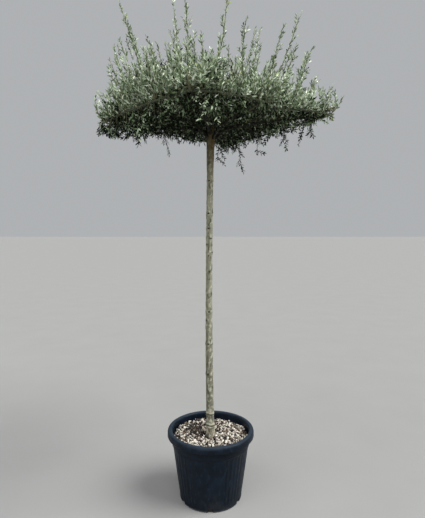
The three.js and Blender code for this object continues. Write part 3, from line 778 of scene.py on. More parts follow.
crumb_x, crumb_y = spread(CRUMB_COUNT, 0, HOLLOW_RADIUS)
crumb_x = CRUMB_STRETCH[0] * crumb_x + HOLLOW_PLACE[0] + BARE_SHIFT[0] + dice.normal(0, 2, CRUMB_COUNT)
crumb_y = CRUMB_STRETCH[1] * crumb_y + HOLLOW_PLACE[1] + BARE_SHIFT[1] + dice.normal(0, 2, CRUMB_COUNT)
crumb_points, crumb_faces = flakes(
    np.stack([crumb_x, crumb_y, soil_top(crumb_x, crumb_y) - 0.5], -1),
    dice.uniform(*CRUMB_SIZE, (CRUMB_COUNT, 3)),
    dice.normal(0, 0.5, (CRUMB_COUNT, 2)),
    dice.uniform(0, 2 * np.pi, CRUMB_COUNT),
    dice,
)
crumb_kind = dice.choice(len(CRUMB_SHARES), CRUMB_COUNT, p=CRUMB_SHARES)
crumbs_piece = piece(
    "compost_crumbs", crumb_points, crumb_faces, chip_finishes[1:], ["growing_medium"],
    smooth=False, finish_of_face=np.repeat(crumb_kind, len(crumb_faces) // CRUMB_COUNT),
)
print("Made", crumbs_piece.name)

# %% [markdown]
# Trunk
#
# The clear trunk is a young one: smooth grey-green bark, faint upright seams, small breathing pores, and
# a scar wherever a side shoot was cut off. Near the foot two old buds left rings that run right round.
# The imported solid gives its centre line, its taper and its knots. The finer mesh repeats those sums, and
# adds relief: seams a third of a millimetre deep, creases at the rings, and a sunken eye with a raised
# collar at each scar. Marks on the mesh tell the finish where scars are, where creases get painted shade
# with a painted highlight above them, and which side is away from the sun and gets painted shade.

# %% Centre line and radius of the trunk
TRUNK_FOOT = SOIL_HEIGHT + CLEARANCE
TRUNK_HEAD = 1668
TRUNK_HEAD_SHARE = 0.62
FLARE_FADE = 22
HEAD_SWELLS = (0.82, 0.15)
TRUNK_RADIUS_LOW = 17.2
TRUNK_RADIUS_MIDDLE = 14.6
TRUNK_RADIUS_HEAD = 18.5
TRUNK_BOW = 8
TRUNK_SWAY = 3
KNOT_HEIGHTS = np.array([309, 363, 544, 626, 683, 760, 829, 1098, 1207, 1275, 1423])
KNOT_SWELL = 1.3
KNOT_REACH = 8


def trunk_centre(height):
    """A slight bow to one side and a slighter sway in depth."""
    height = np.asarray(height, float)
    share = np.clip((height - SOIL_HEIGHT) / (TRUNK_HEAD - SOIL_HEIGHT), 0, 1)
    bow = -TRUNK_BOW * np.sin(np.pi * share**0.8)
    return np.stack([bow, TRUNK_SWAY * np.sin(2 * np.pi * share), height], -1)


def trunk_radius(height):
    """A slow taper, a swollen head, a flare that fades upwards, and a swelling at each knot."""
    share = (height - SOIL_HEIGHT) / (TRUNK_HEAD - SOIL_HEIGHT)
    taper = blend(TRUNK_RADIUS_LOW, TRUNK_RADIUS_MIDDLE, ease(2 * share))
    head = (TRUNK_RADIUS_HEAD - TRUNK_RADIUS_MIDDLE) * ease((share - HEAD_SWELLS[0]) / HEAD_SWELLS[1])
    flare = (FLARE_RADIUS - TRUNK_RADIUS_LOW) * np.exp((SOIL_HEIGHT - height) / FLARE_FADE)
    knots = np.exp(-(((height[..., None] - KNOT_HEIGHTS) / KNOT_REACH) ** 2)).sum(-1)
    return taper + head + flare + KNOT_SWELL * knots


print("Trunk radius at its middle:", round(float(trunk_radius(np.array([960.0]))[0]), 2), "mm")

# %% Creases, scars and algae
TRUNK_COLUMNS = 72
TRUNK_STEP = 2.0
# Scars by height, turn from the front (positive to the viewer's right) and size
SCARS = np.array([
    [1423, -0.3, 7.0], [1275, -0.35, 8.0], [1207, -0.3, 8.0], [1161, 0.6, 5.5], [1134, -0.9, 6.0],
    [1098, 1.1, 7.5], [1083, -0.2, 5.5], [1010, 0.1, 4.5], [829, 0.0, 8.0], [790, -1.0, 7.0],
    [683, -0.2, 7.0], [544, -0.4, 6.5], [1330, 2.6, 7.0], [1180, 3.0, 7.5], [940, 2.3, 7.0],
    [860, -2.7, 7.0], [660, 2.9, 7.5], [480, -2.4, 6.5], [1520, 1.9, 7.0],
])
# Creases by height, depth and thickness
CREASES = np.array([[314, 1.7, 3.0], [364, 1.4, 2.8], [760, 0.8, 2.4], [676, 0.6, 2.0],
                    [626, 0.5, 2.0], [437, 0.4, 1.8], [1272, 0.6, 2.2], [300, 0.3, 1.8]])
SHADE_SIDE = np.array([-0.62, -0.78, 0])
SIDE_SHADE_FROM = 290
SIDE_SHADE_RISE = 90
LIP = {"away": 5.5, "thick": 3.0, "height": 0.75}
LIP_HIGHLIGHT = {"above": 7.5, "thick": 4.5, "from_depth": 0.6}
EYE = {"wide": 1.15, "tall": 0.8, "reach": 0.62}
EYE_COLLAR = {"away": 1.15, "thick": 0.5}

rows = np.arange(TRUNK_FOOT, TRUNK_HEAD + TRUNK_STEP, TRUNK_STEP)
rows[-1] = TRUNK_HEAD
around = turns(TRUNK_COLUMNS)
outward = on_circle(1, around, 0)
centre = trunk_centre(rows)
bare_radius = trunk_radius(rows)
bare = centre[:, None] + bare_radius[:, None, None] * outward

# Creases rise and fall a little on their way round, and roll up a lip above and below
crease_at, crease_deep, crease_thick = CREASES.T[:, :, None]
lift = 1.6 * np.sin(around[None] * 2 + crease_at) + 0.9 * np.sin(around[None] * 5 + crease_at)
gap = rows[:, None, None] - crease_at - lift
crease = (np.exp(-((gap / crease_thick) ** 2)) * crease_deep / crease_deep.max()).sum(1).clip(0, 1)
lips = np.exp(-(((np.abs(gap) - LIP["away"]) / LIP["thick"]) ** 2)) * LIP["height"] * crease_deep
# A painted highlight on the bulge above each deep crease, as lit from above
over = np.exp(-(((gap - LIP_HIGHLIGHT["above"]) / LIP_HIGHLIGHT["thick"]) ** 2))
lip_highlight = (over * (crease_deep - LIP_HIGHLIGHT["from_depth"]).clip(0)).sum(1).clip(0, 1)

# A scar's eye is a little wider than it is tall
scar_at, scar_turn, scar_size = SCARS.T
aside = half_turn(half_turn(around + np.pi / 2)[None, :, None] - scar_turn)
sideways = aside * bare_radius[:, None, None] / (EYE["wide"] * scar_size)
upwards = (rows[:, None, None] - scar_at) / (EYE["tall"] * scar_size)
from_eye = np.sqrt(sideways**2 + upwards**2)
scar = np.exp(-((from_eye / EYE["reach"]) ** 2)).sum(-1).clip(0, 1)
collars = np.exp(-(((from_eye - EYE_COLLAR["away"]) / EYE_COLLAR["thick"]) ** 2)).sum(-1)

# Painted shade darkens the side that gets the least sun
side_shade = (outward @ SHADE_SIDE).clip(0, 1) ** 2 * ease((rows[:, None] - SIDE_SHADE_FROM) / SIDE_SHADE_RISE)
print("Rings up the trunk:", len(rows))

# %% Relief and skin of the trunk
SEAM_DEPTH = 0.32
WRINKLE_DEPTH = 0.22
LUMP_DEPTH = 0.3
SCAR_DEPTH = 1.5
HEAD_FADE = 20
HEAD_ROUND = 13
FOOT_FADE = 8

# The relief fades out at the head and, less, at the foot
seams = ripple(bare, 7, 5, (1, 1, 0.1))
wrinkles = ripple(bare, 16, 6, (0.5, 0.5, 1.6))
relief = SEAM_DEPTH * seams + WRINKLE_DEPTH * wrinkles + LUMP_DEPTH * ripple(bare, 30, 7)
relief = relief + collars - SCAR_DEPTH * scar + lips.sum(1) - SCAR_DEPTH * crease
faded = np.minimum(1, (TRUNK_HEAD - rows) / HEAD_FADE)
faded = faded * np.minimum(1, (rows - TRUNK_FOOT + FOOT_FADE / 2) / FOOT_FADE)
relief *= faded[:, None]
head_in = blend(1, TRUNK_HEAD_SHARE, ease((rows - (TRUNK_HEAD - HEAD_ROUND)) / HEAD_ROUND))
trunk_grid = centre[:, None] + ((bare_radius * head_in)[:, None] + relief)[..., None] * outward
trunk_points, trunk_faces = closed_tubes(trunk_grid[None], centre[:1], centre[-1:])
print("Triangles of the trunk:", len(trunk_faces))

# %% [markdown]
# The bark's colour changes up the trunk: brown-grey just above the mulch, a dark grey-green low down, a
# paler one over most of its height, and olive-brown under the crown, darkened there as painted shade.
# Paler blots of thin lichen and darker blots lie over that, stretched along the trunk, the scars are nearly
# black, and the creases are painted nearly black as shade, with a painted highlight on the bulge above.
# The limbs wear the same bark in darker tones, and the boughs are painted nearly black below the roof as
# shade from the crown, so one function makes all three finishes.

# %% Finishes of the bark
def bark_finish(name, tones, climbs, pale, dark):
    """Bark with blots and seams, whose main tone changes up the tree. Each climb is the two heights in
    metres between which one tone gives way to the next, and above the last one lichen is rare."""
    bark = Finish(name, Roughness=0.86, Specular_IOR_Level=0.25)
    here = bark.height()
    lichen = bark.step(bark.noise(95, 6, (1, 1, 0.6)), 0.5, 0.6)
    shade = bark.step(bark.noise(70, 6, (1, 1, 0.5)), 0.53, 0.66)
    seam = bark.step(bark.noise(300, 4, (1, 1, 0.07)), 0.56, 0.72)
    pores = bark.step(bark.noise(520, 2, (1, 1, 1.6)), 0.66, 0.74)
    bark.into("Base Color", bark.coated(
        tones[0],
        *((bark.step(here, *climb), tone) for climb, tone in zip(climbs, tones[1:])),
        (lichen * (0.8 - 0.65 * bark.step(here, *climbs[-1])), pale),
        (shade * 0.8, dark),
        # Painted shade on the side away from the sun
        (bark.mark("side_shade") * 0.42, dark),
        (seam * 0.6, dark),
        (pores * 0.7, dark),
        # Painted highlight on the bulge above a crease
        (bark.mark("lip") * 0.7, pale),
        (bark.step(bark.mark("scar"), 0.2, 0.6) * 0.95, tint(24, 24, 16)),
        # Painted shade in the creases, nearly black
        (bark.step(bark.mark("crease"), 0.2, 0.8) * 0.85, tint(34, 34, 23)),
    ))
    bark.bumped(bark.noise(260, 5, (1, 1, 0.2)) + bark.noise(700, 3) * 0.5, 0.0009, 0.75)
    return bark


trunk_bark = bark_finish(
    "grey_green_bark",
    # The top tone is olive-brown bark, darkened as painted shade under the crown
    [tint(138, 131, 115), tint(112, 111, 96), tint(139, 138, 119), tint(88, 71, 40)],
    [(0.285, 0.31), (0.5, 0.95), (1.35, 1.62)],
    tint(178, 176, 156),
    tint(56, 58, 44),
)
trunk = piece(
    "trunk_bark", trunk_points, trunk_faces, [trunk_bark], ["trunk"],
    marks={"scar": scar, "crease": crease, "lip": lip_highlight, "side_shade": side_shade},
)
print("Made", trunk.name)

# %% [markdown]
# Limbs
#
# Eight boughs leave the head of the trunk like the spokes of an umbrella and reach the roof's corners and
# the middles of its sides. Thinner limbs run along the sides. Each is one curve with three control
# points, so each lies in one plane, and the plane's own direction gives every ring of its tube a side
# that never twists. Many curves are worked out at once, which the twigs below need by the thousand.

# %% Curves by the share of their length
CURVE_STEPS = 24


def curve_points(lines, u):
    """Points of quadratic curves (n, 3, 3) at u (n, k): (1-u)² start + 2u(1-u) bend + u² end."""
    u = u[..., None]
    start, bend, end = (lines[:, None, k] for k in range(3))
    return (1 - u) ** 2 * start + 2 * u * (1 - u) * bend + u**2 * end


def curve_ways(lines, u):
    """Directions of the curves at u: (1-u) (bend - start) + u (end - bend), made of length 1."""
    u = u[..., None]
    start, bend, end = (lines[:, None, k] for k in range(3))
    return unit((1 - u) * (bend - start) + u * (end - bend))


def curve_lengths(lines):
    """Length along each curve at even values of u, by adding up short straight steps."""
    u = np.broadcast_to(np.linspace(0, 1, CURVE_STEPS + 1), (len(lines), CURVE_STEPS + 1))
    steps_long = length_of(np.diff(curve_points(lines, u), axis=1))
    return np.concatenate([np.zeros((len(lines), 1)), np.cumsum(steps_long, 1)], 1)


def u_at(lines, share):
    """The value of u at a share (n, k) of each curve's length, read off its table of lengths."""
    table = curve_lengths(lines)
    wanted = share * table[:, -1:]
    at = np.clip((table[:, None] <= wanted[..., None]).sum(-1) - 1, 0, CURVE_STEPS - 1)
    low = np.take_along_axis(table, at, 1)
    high = np.take_along_axis(table, at + 1, 1)
    return (at + (wanted - low) / np.maximum(high - low, 1e-9)) / CURVE_STEPS


def points_at(line, share):
    """Points of one curve at shares of its length."""
    return curve_points(line[None], u_at(line[None], np.array(share)[None]))[0]


straight = np.array([[0.0, 0, 0], [1, 0, 0], [2, 0, 0]])
print("Halfway along a straight line:", points_at(straight, [0.5])[0])

# %% Tubes round curves
SLANTED = np.array([0.3, 0.9, 0.2])


def tube_grids(lines, radii, columns):
    """Rings round each curve, evenly along it, of radii (n, rows). Returns them, the rings' centres and
    the way out from each. A straight curve has no plane of its own, and takes one by a slanted line."""
    share = np.broadcast_to(np.linspace(0, 1, radii.shape[1]), radii.shape)
    u = u_at(lines, share)
    middle, way = curve_points(lines, u), curve_ways(lines, u)
    flat = np.cross(lines[:, 1] - lines[:, 0], lines[:, 2] - lines[:, 0])
    plain = np.cross(lines[:, 2] - lines[:, 0], SLANTED)
    flat = unit(np.where(np.linalg.norm(flat, axis=1, keepdims=True) > 1e-3, flat, plain))[:, None]
    flat = np.broadcast_to(flat, way.shape)
    across = np.cross(way, flat)
    a = turns(columns)
    out = np.cos(a)[:, None] * flat[:, :, None] + np.sin(a)[:, None] * across[:, :, None]
    return middle[:, :, None] + radii[:, :, None, None] * out, middle, out


print("Rings of a tube with three radii:", tube_grids(straight[None], np.ones((1, 3)), 6)[0].shape)

# %% The roof's plan and its limbs
ROOF_HEIGHT = 1695
CORNERS = {"near": (-75, -455), "right": (518, -92), "far": (98, 545), "left": (-490, 27)}
CORNER_BOUGH = {"base": 9.5, "tip": 4.6, "leaves": 1634, "reach": 0.95, "steps": 7, "columns": 28}
SIDE_BOUGH = {"base": 7, "tip": 4.3, "leaves": 1598, "reach": 0.7, "steps": 6, "columns": 28}
EDGE_LIMB = {"base": 4.3, "tip": 2.1, "columns": 18}
BOUGH_BEND = 0.3
BOUGH_DROP = 4
EDGE_BOW = 16
EDGE_RISE = 3
BOUGHS = {
    "bough_near_corner": ((-1, -1), CORNER_BOUGH),
    "bough_right_corner": ((1, -1), CORNER_BOUGH),
    "bough_far_corner": ((1, 1), CORNER_BOUGH),
    "bough_left_corner": ((-1, 1), CORNER_BOUGH),
    "bough_near_right_side": ((0, -1), SIDE_BOUGH),
    "bough_far_right_side": ((1, 0), SIDE_BOUGH),
    "bough_far_left_side": ((0, 1), SIDE_BOUGH),
    "bough_near_left_side": ((-1, 0), SIDE_BOUGH),
}
# A limb along a side: the bough it leaves, how far back from its tip, the place it bends over, its end
EDGE_LIMBS = {
    "edge_limb_near_left": ("bough_near_corner", 0.06, (-1, 0), (-1, 0.93)),
    "edge_limb_near_right": ("bough_near_corner", 0.06, (-0.5, -1), (0.04, -0.98)),
    "edge_limb_right": ("bough_near_right_side", 0.9, (0.28, -1), (0.93, -1)),
    "edge_limb_far_right": ("bough_right_corner", 0.06, (1, 0), (1, 0.93)),
    "edge_limb_far_left": ("bough_left_corner", 0.06, (0, 1), (0.93, 1)),
}


def roof_point(place, height=ROOF_HEIGHT):
    """Place over the roof for shares (..., 2) from -1 to 1: along one pair of sides, then between them."""
    place = np.asarray(place, float)
    s, t = (place[..., :1] + 1) / 2, (place[..., 1:] + 1) / 2
    near, right, far, left = (np.array(CORNERS[k], float) for k in ("near", "right", "far", "left"))
    plan = blend(blend(near, right, s), blend(left, far, s), t)
    tall = np.broadcast_to(np.asarray(height, float), plan.shape[:-1])
    return np.concatenate([plan, tall[..., None]], -1)


print("Middle of the roof:", roof_point((0, 0)).round(1))

# %% Lines of the limbs
limbs = {}


def last_step(bough):
    """The tip of a bough and, first, the point one of its even steps before it."""
    line, size = limbs[bough]
    return points_at(line, [1 - 1 / size["steps"], 1.0])


for name, (cell, size) in BOUGHS.items():
    start = trunk_centre(size["leaves"])
    end = roof_point(np.array(cell) * size["reach"], ROOF_HEIGHT - BOUGH_DROP)
    bend = blend(start, end, BOUGH_BEND)
    bend[2] = ROOF_HEIGHT - BOUGH_DROP / 2
    limbs[name] = (np.stack([start, bend, end]), size)
for name, (bough, back, bend_place, end_place) in EDGE_LIMBS.items():
    before, tip = last_step(bough)
    bend = roof_point(bend_place, 0)
    bend = unit(bend) * (np.linalg.norm(bend) + EDGE_BOW) + UP * (ROOF_HEIGHT + 2 * EDGE_RISE)
    end = roof_point(end_place, ROOF_HEIGHT + EDGE_RISE)
    limbs[name] = (np.stack([blend(tip, before, back), bend, end]), EDGE_LIMB)
print("Limbs:", len(limbs))

# %% Bark on the limbs
LIMB_STEP = 3
NODE_SPACING = 58
NODE_REACH = 4.5
NODE_SWELL = 0.7
JOINT_SWELL = 0.45
JOINT_REACH = 16
FINE_ROUGH = 0.3
COARSE_ROUGH = 0.35

# The boughs' dark olive bark is painted nearly black below the roof, as shade from the crown
shaded_bough_bark = bark_finish(
    "dark_olive_bark",
    [tint(12, 11, 7), tint(34, 35, 24)],
    [(1.655, 1.69)],
    tint(66, 68, 52),
    tint(7, 7, 4),
)
edge_bark = bark_finish(
    "sage_grey_bark",
    [tint(68, 74, 57)],
    [(1.655, 1.69)],
    tint(138, 150, 129),
    tint(30, 32, 22),
)

# A limb swells where it joins, and a little at each of its nodes
for name, (line, size) in limbs.items():
    long = curve_lengths(line[None])[0, -1]
    share = np.linspace(0, 1, int(long / LIMB_STEP))
    swell = JOINT_SWELL * np.exp(-share * long / JOINT_REACH)
    from_node = fraction(share * long / NODE_SPACING + len(name) * 0.37) - 0.5
    nodes_along = np.exp(-(from_node * NODE_SPACING / NODE_REACH) ** 2)
    radii = (blend(size["base"], size["tip"], share) * (1 + swell) + NODE_SWELL * nodes_along)[None]
    grid, middle, out = tube_grids(line[None], radii, size["columns"])
    rough = FINE_ROUGH * ripple(grid, 9, 11) + COARSE_ROUGH * ripple(grid, 26, 12)
    grid = grid + rough[..., None] * out * np.minimum(1, radii[..., None, None] / 5)
    points, faces = closed_tubes(grid, middle[:, 0], middle[:, -1])
    bark = edge_bark if size is EDGE_LIMB else shaded_bough_bark
    piece("bark_" + name, points, faces, [bark], [name])
print("Triangles of the limbs:", sum(n for name, n in triangles.items() if name.startswith("bark_")))

# %% [markdown]
# Where foliage may grow
#
# The roof's plan is cut into nine cells, and each mass of foliage keeps to its own. Its walls lean
# outwards with the shoots, which spread from the middle of the roof as they rise. To test a point, it is
# brought down its leaning line to the roof, and there four straight lines bound the cell.

# %% Leaning lines and cells
CELL_EDGE = 0.38
OVERHANG = 1.1
LEAN_PER_RISE = 0.0012
LEAN_LIMIT = 300
LIMB_MARKS = 40


def leant(place, height):
    """The point at a height over a place on the roof, moved outwards in step with that height."""
    away = length_of(place[..., :2])
    shift = LEAN_PER_RISE * np.maximum(height, 0) * np.minimum(away, LEAN_LIMIT)
    plan = place[..., :2] * ((away + shift) / np.maximum(away, 1))[..., None]
    return np.concatenate([plan, (ROOF_HEIGHT + height)[..., None]], -1)


def foot_of(point):
    """The place on the roof whose leaning line passes through a point."""
    away = length_of(point[..., :2])
    steep = LEAN_PER_RISE * np.maximum(point[..., 2] - ROOF_HEIGHT, 0)
    near = away / (1 + steep)
    foot = np.where(near < LEAN_LIMIT, near, away - steep * LEAN_LIMIT)
    return point[..., :2] * (foot / np.maximum(away, 1))[..., None]


def inside_cell(point, cell, margin):
    """True where a point's foot is further than the margin inside all four sides of its cell."""
    edges = [-OVERHANG, -CELL_EDGE, CELL_EDGE, OVERHANG]
    (s0, s1), (t0, t1) = (edges[k + 1:k + 3] for k in cell)
    ends = roof_point([(s0, t0), (s1, t0), (s1, t1), (s0, t1)])[:, :2]
    along = unit(np.roll(ends, -1, 0) - ends)
    inward = np.stack([-along[:, 1], along[:, 0]], -1)
    foot = foot_of(point)
    return np.all(((foot[..., None, :] - ends) * inward).sum(-1) > margin, -1)


mark_share = np.linspace(0, 1, LIMB_MARKS)
limb_marks = np.concatenate([points_at(line, mark_share) for line, _ in limbs.values()])
limb_girths = np.concatenate([blend(size["base"], size["tip"], mark_share) for _, size in limbs.values()])


def clear_of_limbs(point, margin):
    """True where a point is further than the margin from every limb's bark and from the trunk's."""
    apart = length_of(point[:, None] - limb_marks) - limb_girths
    beside_trunk = length_of(point[:, :2]) - TRUNK_RADIUS_HEAD
    return (apart.min(1) > margin) & ((point[:, 2] > TRUNK_HEAD) | (beside_trunk > margin))


print("The roof's middle lies in the middle cell:", inside_cell(np.array([10.0, 10, 1700]), (0, 0), 5))

# %% [markdown]
# Shoots
#
# Each mass has one short stem that goes on from its bough's tip, and ten main shoots branch from it, as in
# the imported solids: two tall ones, six that fill the cell evenly and, but for the middle mass, two that
# hang. A real crown is denser, so the same rule goes on to more shoots, which start from the nearest part
# of a limb or stem. Their heights thin out upwards: three in five end below the mass's dense height,
# because the roof is clipped each year, and one in ten stands more than twice as tall. Every third one
# droops a little below the roof.

# %% Nine masses
SHOOTS_PER_MASS = 10
# For each mass: its cell, the usual height of its main shoots, how far its hanging ones reach down, the
# height under which most others end and how many of those there are. Tall and set shoots are placed one
# by one, by their place on the roof and their height over it, and the last few may be painted in the
# palest tone, as lit. At the left and the right corner the first of the tall ones is low, and only fills
# the roof's outermost tip.
MASSES = {
    "near_corner": {"cell": (-1, -1), "rise": 105, "hang": 40, "dense": 76, "more": 90,
                    "tall": [(-0.66, -0.56, 365), (-0.46, -0.8, 350)],
                    "set": [(-0.62, -0.92, -52), (-0.76, -0.93, -62)], "pale": 2},
    "near_right_side": {"cell": (0, -1), "rise": 105, "hang": 50, "dense": 44, "more": 86,
                        "tall": [(-0.26, -0.78, 270), (0.29, -0.73, 364)],
                        "set": [(0.1, -0.8, 290), (0.32, -0.5, 245), (0.2, -0.62, 220), (-0.05, -0.7, 275),
                                (0.24, -0.9, 205), (-0.08, -0.8, 200)]},
    "right_corner": {"cell": (1, -1), "rise": 72, "hang": 60, "dense": 38, "more": 56,
                     "tall": [(1.06, -1.05, 85), (0.56, -0.69, 255)],
                     "set": [(0.45, -0.9, 235), (0.75, -0.8, 150), (0.68, -0.65, 195), (0.45, -0.55, 275)]},
    "far_right_side": {"cell": (1, 0), "rise": 215, "hang": 120, "dense": 56, "more": 84,
                       "tall": [(0.6, 0.2, 330), (0.8, -0.25, 250)]},
    "far_corner": {"cell": (1, 1), "rise": 240, "hang": 140, "dense": 100, "more": 90,
                   "tall": [(0.7, 0.85, 360), (0.9, 0.5, 300)]},
    "far_left_side": {"cell": (0, 1), "rise": 215, "hang": 50, "dense": 105, "more": 100,
                      "tall": [(0.2, 0.7, 350), (-0.25, 0.9, 290)]},
    "left_corner": {"cell": (-1, 1), "rise": 120, "hang": 60, "dense": 92, "more": 120,
                    "tall": [(-1.04, 1.04, 85), (-0.71, 0.6, 330)],
                    "set": [(-1.05, 1.05, -32), (-1.0, 1.07, -50), (-1.07, 0.93, -30), (-0.94, 1.0, -54)]},
    "near_left_side": {"cell": (-1, 0), "rise": 150, "hang": 50, "dense": 96, "more": 104,
                       "tall": [(-0.78, 0.13, 415), (-0.59, -0.3, 380)],
                       "set": [(-0.97, 0.02, -70), (-0.97, 0.1, -92)], "pale": 2},
    "middle": {"cell": (0, 0), "rise": 225, "hang": 0, "dense": 115, "more": 96,
               "tall": [(0.27, -0.2, 430), (-0.2, 0.27, 390)]},
}
print("Shoots to try:", sum(SHOOTS_PER_MASS + mass["more"] for mass in MASSES.values()))

# %% Stem of a mass
STEM_REACH = {"corner": 58, "side": 96, "middle": 66}
STEM_LIFT = 46
STEM_BEND = (0.6, 0.85)


def stem_line(cell):
    """The stem of a mass: it starts just off its bough's tip, goes on the same way and turns up. That of
    the middle mass stands upright on the trunk's head."""
    bough = next((name for name, (place, _) in BOUGHS.items() if place == cell), None)
    if bough is None:
        start, facing, reach, lift = trunk_centre(TRUNK_HEAD), UP, STEM_REACH["middle"], 0
    else:
        before, start = last_step(bough)
        facing, lift = unit(start - before), STEM_LIFT
        reach = STEM_REACH["side" if 0 in cell else "corner"]
    start = start + CLEARANCE * facing
    bend, end = (start + share * reach * facing for share in STEM_BEND)
    return np.stack([start, bend, end + lift * UP])


print("End of the middle mass's stem:", stem_line((0, 0))[-1].round(1))

# %% Places and heights of the shoots
HANGING_SHOOTS = 2
SHOOT_SPREAD = 0.92
MAIN_HEIGHTS = (0.55, 1.15)
THINNING = {"least": 0.1, "tallest": 0.97, "power": 0.9}
CORNER_LOW = 0.3
LEAST_DROOP = 24
LEFT_DROOP = 44


def droop_over(place):
    """How far the crown's underside sags below the roof: little, and more along its left side. That grows
    from s = -0.05 to full at -0.8, and from the near corner, t = -1, to full at -0.2."""
    s, t = place[..., 0], place[..., 1]
    return LEAST_DROOP + LEFT_DROOP * ease((-0.05 - s) / 0.75) * ease((t + 1) / 0.8)


def thinned(dense, varies):
    """Heights that thin out upwards: dense (least + (-log(1 - tallest v)) ^ power) for even v."""
    climb = -np.log(1 - THINNING["tallest"] * varies)
    return dense * (THINNING["least"] + climb ** THINNING["power"])


def shoot_places(mass):
    """Place on the roof and height over it of each shoot: the tall ones by their entry, then an even
    spread over the cell by the plastic steps, with the last of the ten and every third one hanging.
    Those near the roof's corners stay low, so the crown is a shallow dome. A few are set one by one."""
    cell, tall = np.array(mass["cell"]), np.array(mass["tall"], float)
    index = np.arange(SHOOTS_PER_MASS + mass["more"])
    middle = cell * (OVERHANG + CELL_EDGE) / 2
    half = np.where(cell == 0, CELL_EDGE, (OVERHANG - CELL_EDGE) / 2)
    share = 2 * fraction(0.5 + index[:, None] * np.array(PLASTIC_STEPS) + 0.31 * cell) - 1
    place = middle + SHOOT_SPREAD * half * share
    varies = fraction(index * GOLDEN_STEP + 0.2 * cell[0] + 0.4 * cell[1])
    is_main = index < SHOOTS_PER_MASS
    main_height = mass["rise"] * blend(*MAIN_HEIGHTS, varies)
    at_corner = ease((np.abs(place).prod(1) - 0.4) / 0.5)
    rising = np.where(is_main, main_height, thinned(mass["dense"], varies) * blend(1, CORNER_LOW, at_corner))
    hanging = -np.where(is_main, mass["hang"], droop_over(place)) * blend(0.6, 1.0, varies)
    main_hangs = (index >= SHOOTS_PER_MASS - HANGING_SHOOTS) & (mass["hang"] > 0)
    height = np.where(np.where(is_main, main_hangs, index % 3 == 0), hanging, rising)
    place[:len(tall)], height[:len(tall)] = tall[:, :2], tall[:, 2]
    for k, (s, t, tip) in enumerate(mass.get("set", [])):
        place[-1 - k], height[-1 - k] = (s, t), tip
    return index, place, height


print("Tallest shoot of the middle mass:", shoot_places(MASSES["middle"])[2].max(), "mm over the roof")

# %% Lines of the shoots
STEM_PART = (0.3, 0.97)
SHOOT_MARGIN = 3.5
INWARD_PULL = 0.45
BOX_MARGIN = 6


def inside_box(point):
    """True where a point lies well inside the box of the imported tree."""
    low, high = np.array(cad_box) / MM
    return np.all((point > low + BOX_MARGIN) & (point < high - BOX_MARGIN), -1)


def shoot_lines(mass):
    """Start, bend and end of each shoot: out from the stem, or after the first ten from the nearest part
    of a limb or stem, to its place over the cell, then up along the leaning line or down."""
    cell = mass["cell"]
    stem = stem_line(cell)
    index, place, height = shoot_places(mass)
    is_main = index < SHOOTS_PER_MASS
    foot = roof_point(place)
    from_stem = points_at(stem, blend(*STEM_PART, fraction(0.4 + index * GOLDEN_STEP)))
    along_stem = curve_points(stem[None], np.linspace(0.2, 1, 8)[None])[0]
    marks = np.concatenate([limb_marks[inside_cell(limb_marks, cell, 2)], along_stem])
    far = length_of(foot[:, None] - marks) + INWARD_PULL * length_of(marks[:, :2])
    start = np.where(is_main[:, None], from_stem, marks[far.argmin(1)])
    level = np.where(height > 0, np.minimum(26, 6 + 0.3 * height), 8)
    lines = np.stack([start, foot + level[:, None] * UP, leant(foot, height)], 1)
    trial = curve_points(lines, np.broadcast_to(np.linspace(0.15, 1, 10), (len(lines), 10)))
    kept = np.all(inside_cell(trial, cell, SHOOT_MARGIN), -1) & (inside_box(lines[:, 2]) | is_main)
    return index[kept], lines[kept], height[kept], droop_over(place[kept]), stem


counts = {name: len(shoot_lines(mass)[0]) for name, mass in MASSES.items()}
print("Shoots kept:", sum(counts.values()), "at least", min(counts.values()), "in each mass")

# %% [markdown]
# Twigs and leaves
#
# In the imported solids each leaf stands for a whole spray. Here the same rule sets a side twig there:
# round the shoot by the golden turn, leaning ahead, and shorter the higher it stands. Small leaves then
# stand round every twig in the same way, and round the short spurs along the limbs. A leaf has six
# triangles above and six below, so that its dark upper side and its silvery underside are real faces.

# %% Places along a family of curves
LEAF_SHRINK = (60, 340)
IN_STEP = 0.85
LAST_SHARE = 0.995
ASIDE = np.array([0.9, 0.3, 0.3])


def along(lines, spacing, first):
    """Even places along each curve: whose curve it is, its number there, how many, and its share."""
    many = np.maximum(np.round(curve_lengths(lines)[:, -1] * (1 - first) / spacing), 1).astype(int)
    owner = np.repeat(np.arange(len(lines)), many)
    number = np.arange(many.sum()) - np.repeat(np.cumsum(many) - many, many)
    share = first + (1 - first) * (number + IN_STEP) / many[owner]
    return owner, number, many[owner], np.minimum(share, LAST_SHARE)


def sprout(lines, owner, share, angle, lean):
    """Root and direction of what grows at those places: sideways from the curve, turned round it by
    the angle, and leaning ahead by the lean."""
    u = u_at(lines[owner], share[:, None])
    root = curve_points(lines[owner], u)[:, 0]
    way = curve_ways(lines[owner], u)[:, 0]
    side = unit(ASIDE - (way @ ASIDE)[:, None] * way)
    turned = np.cos(angle)[:, None] * side + np.sin(angle)[:, None] * np.cross(way, side)
    return root, unit(turned + lean[:, None] * way)


def smallness(point):
    """0 low in the crown and 1 near its highest tips."""
    low, high = LEAF_SHRINK
    return ease((point[:, 2] - ROOF_HEIGHT - low) / (high - low))


print("Smallness half way up:", smallness(np.array([[0, 0, ROOF_HEIGHT + 200.0]])))

# %% Side twigs
TWIG_SPACING = 18.5
TWIG_LONG = (86, 41)
TWIG_LEAN = (0.9, 2.0)
TWIG_START = 0.12
TWIG_VARIES = (0.6, 1.15)
TWIG_AT_TIP = 0.6
TWIG_LIFT = (0.16, 0.2)
TWIG_BEND = 0.55
LEAN_AHEAD = 3.0
TWIG_MARGIN = 6
BEND_MARGIN = 4
TWIGS_LEFT_OUT = 0.42
CUT_SHORT = 0.5
LOWEST_TWIG = (-30, 1.05)


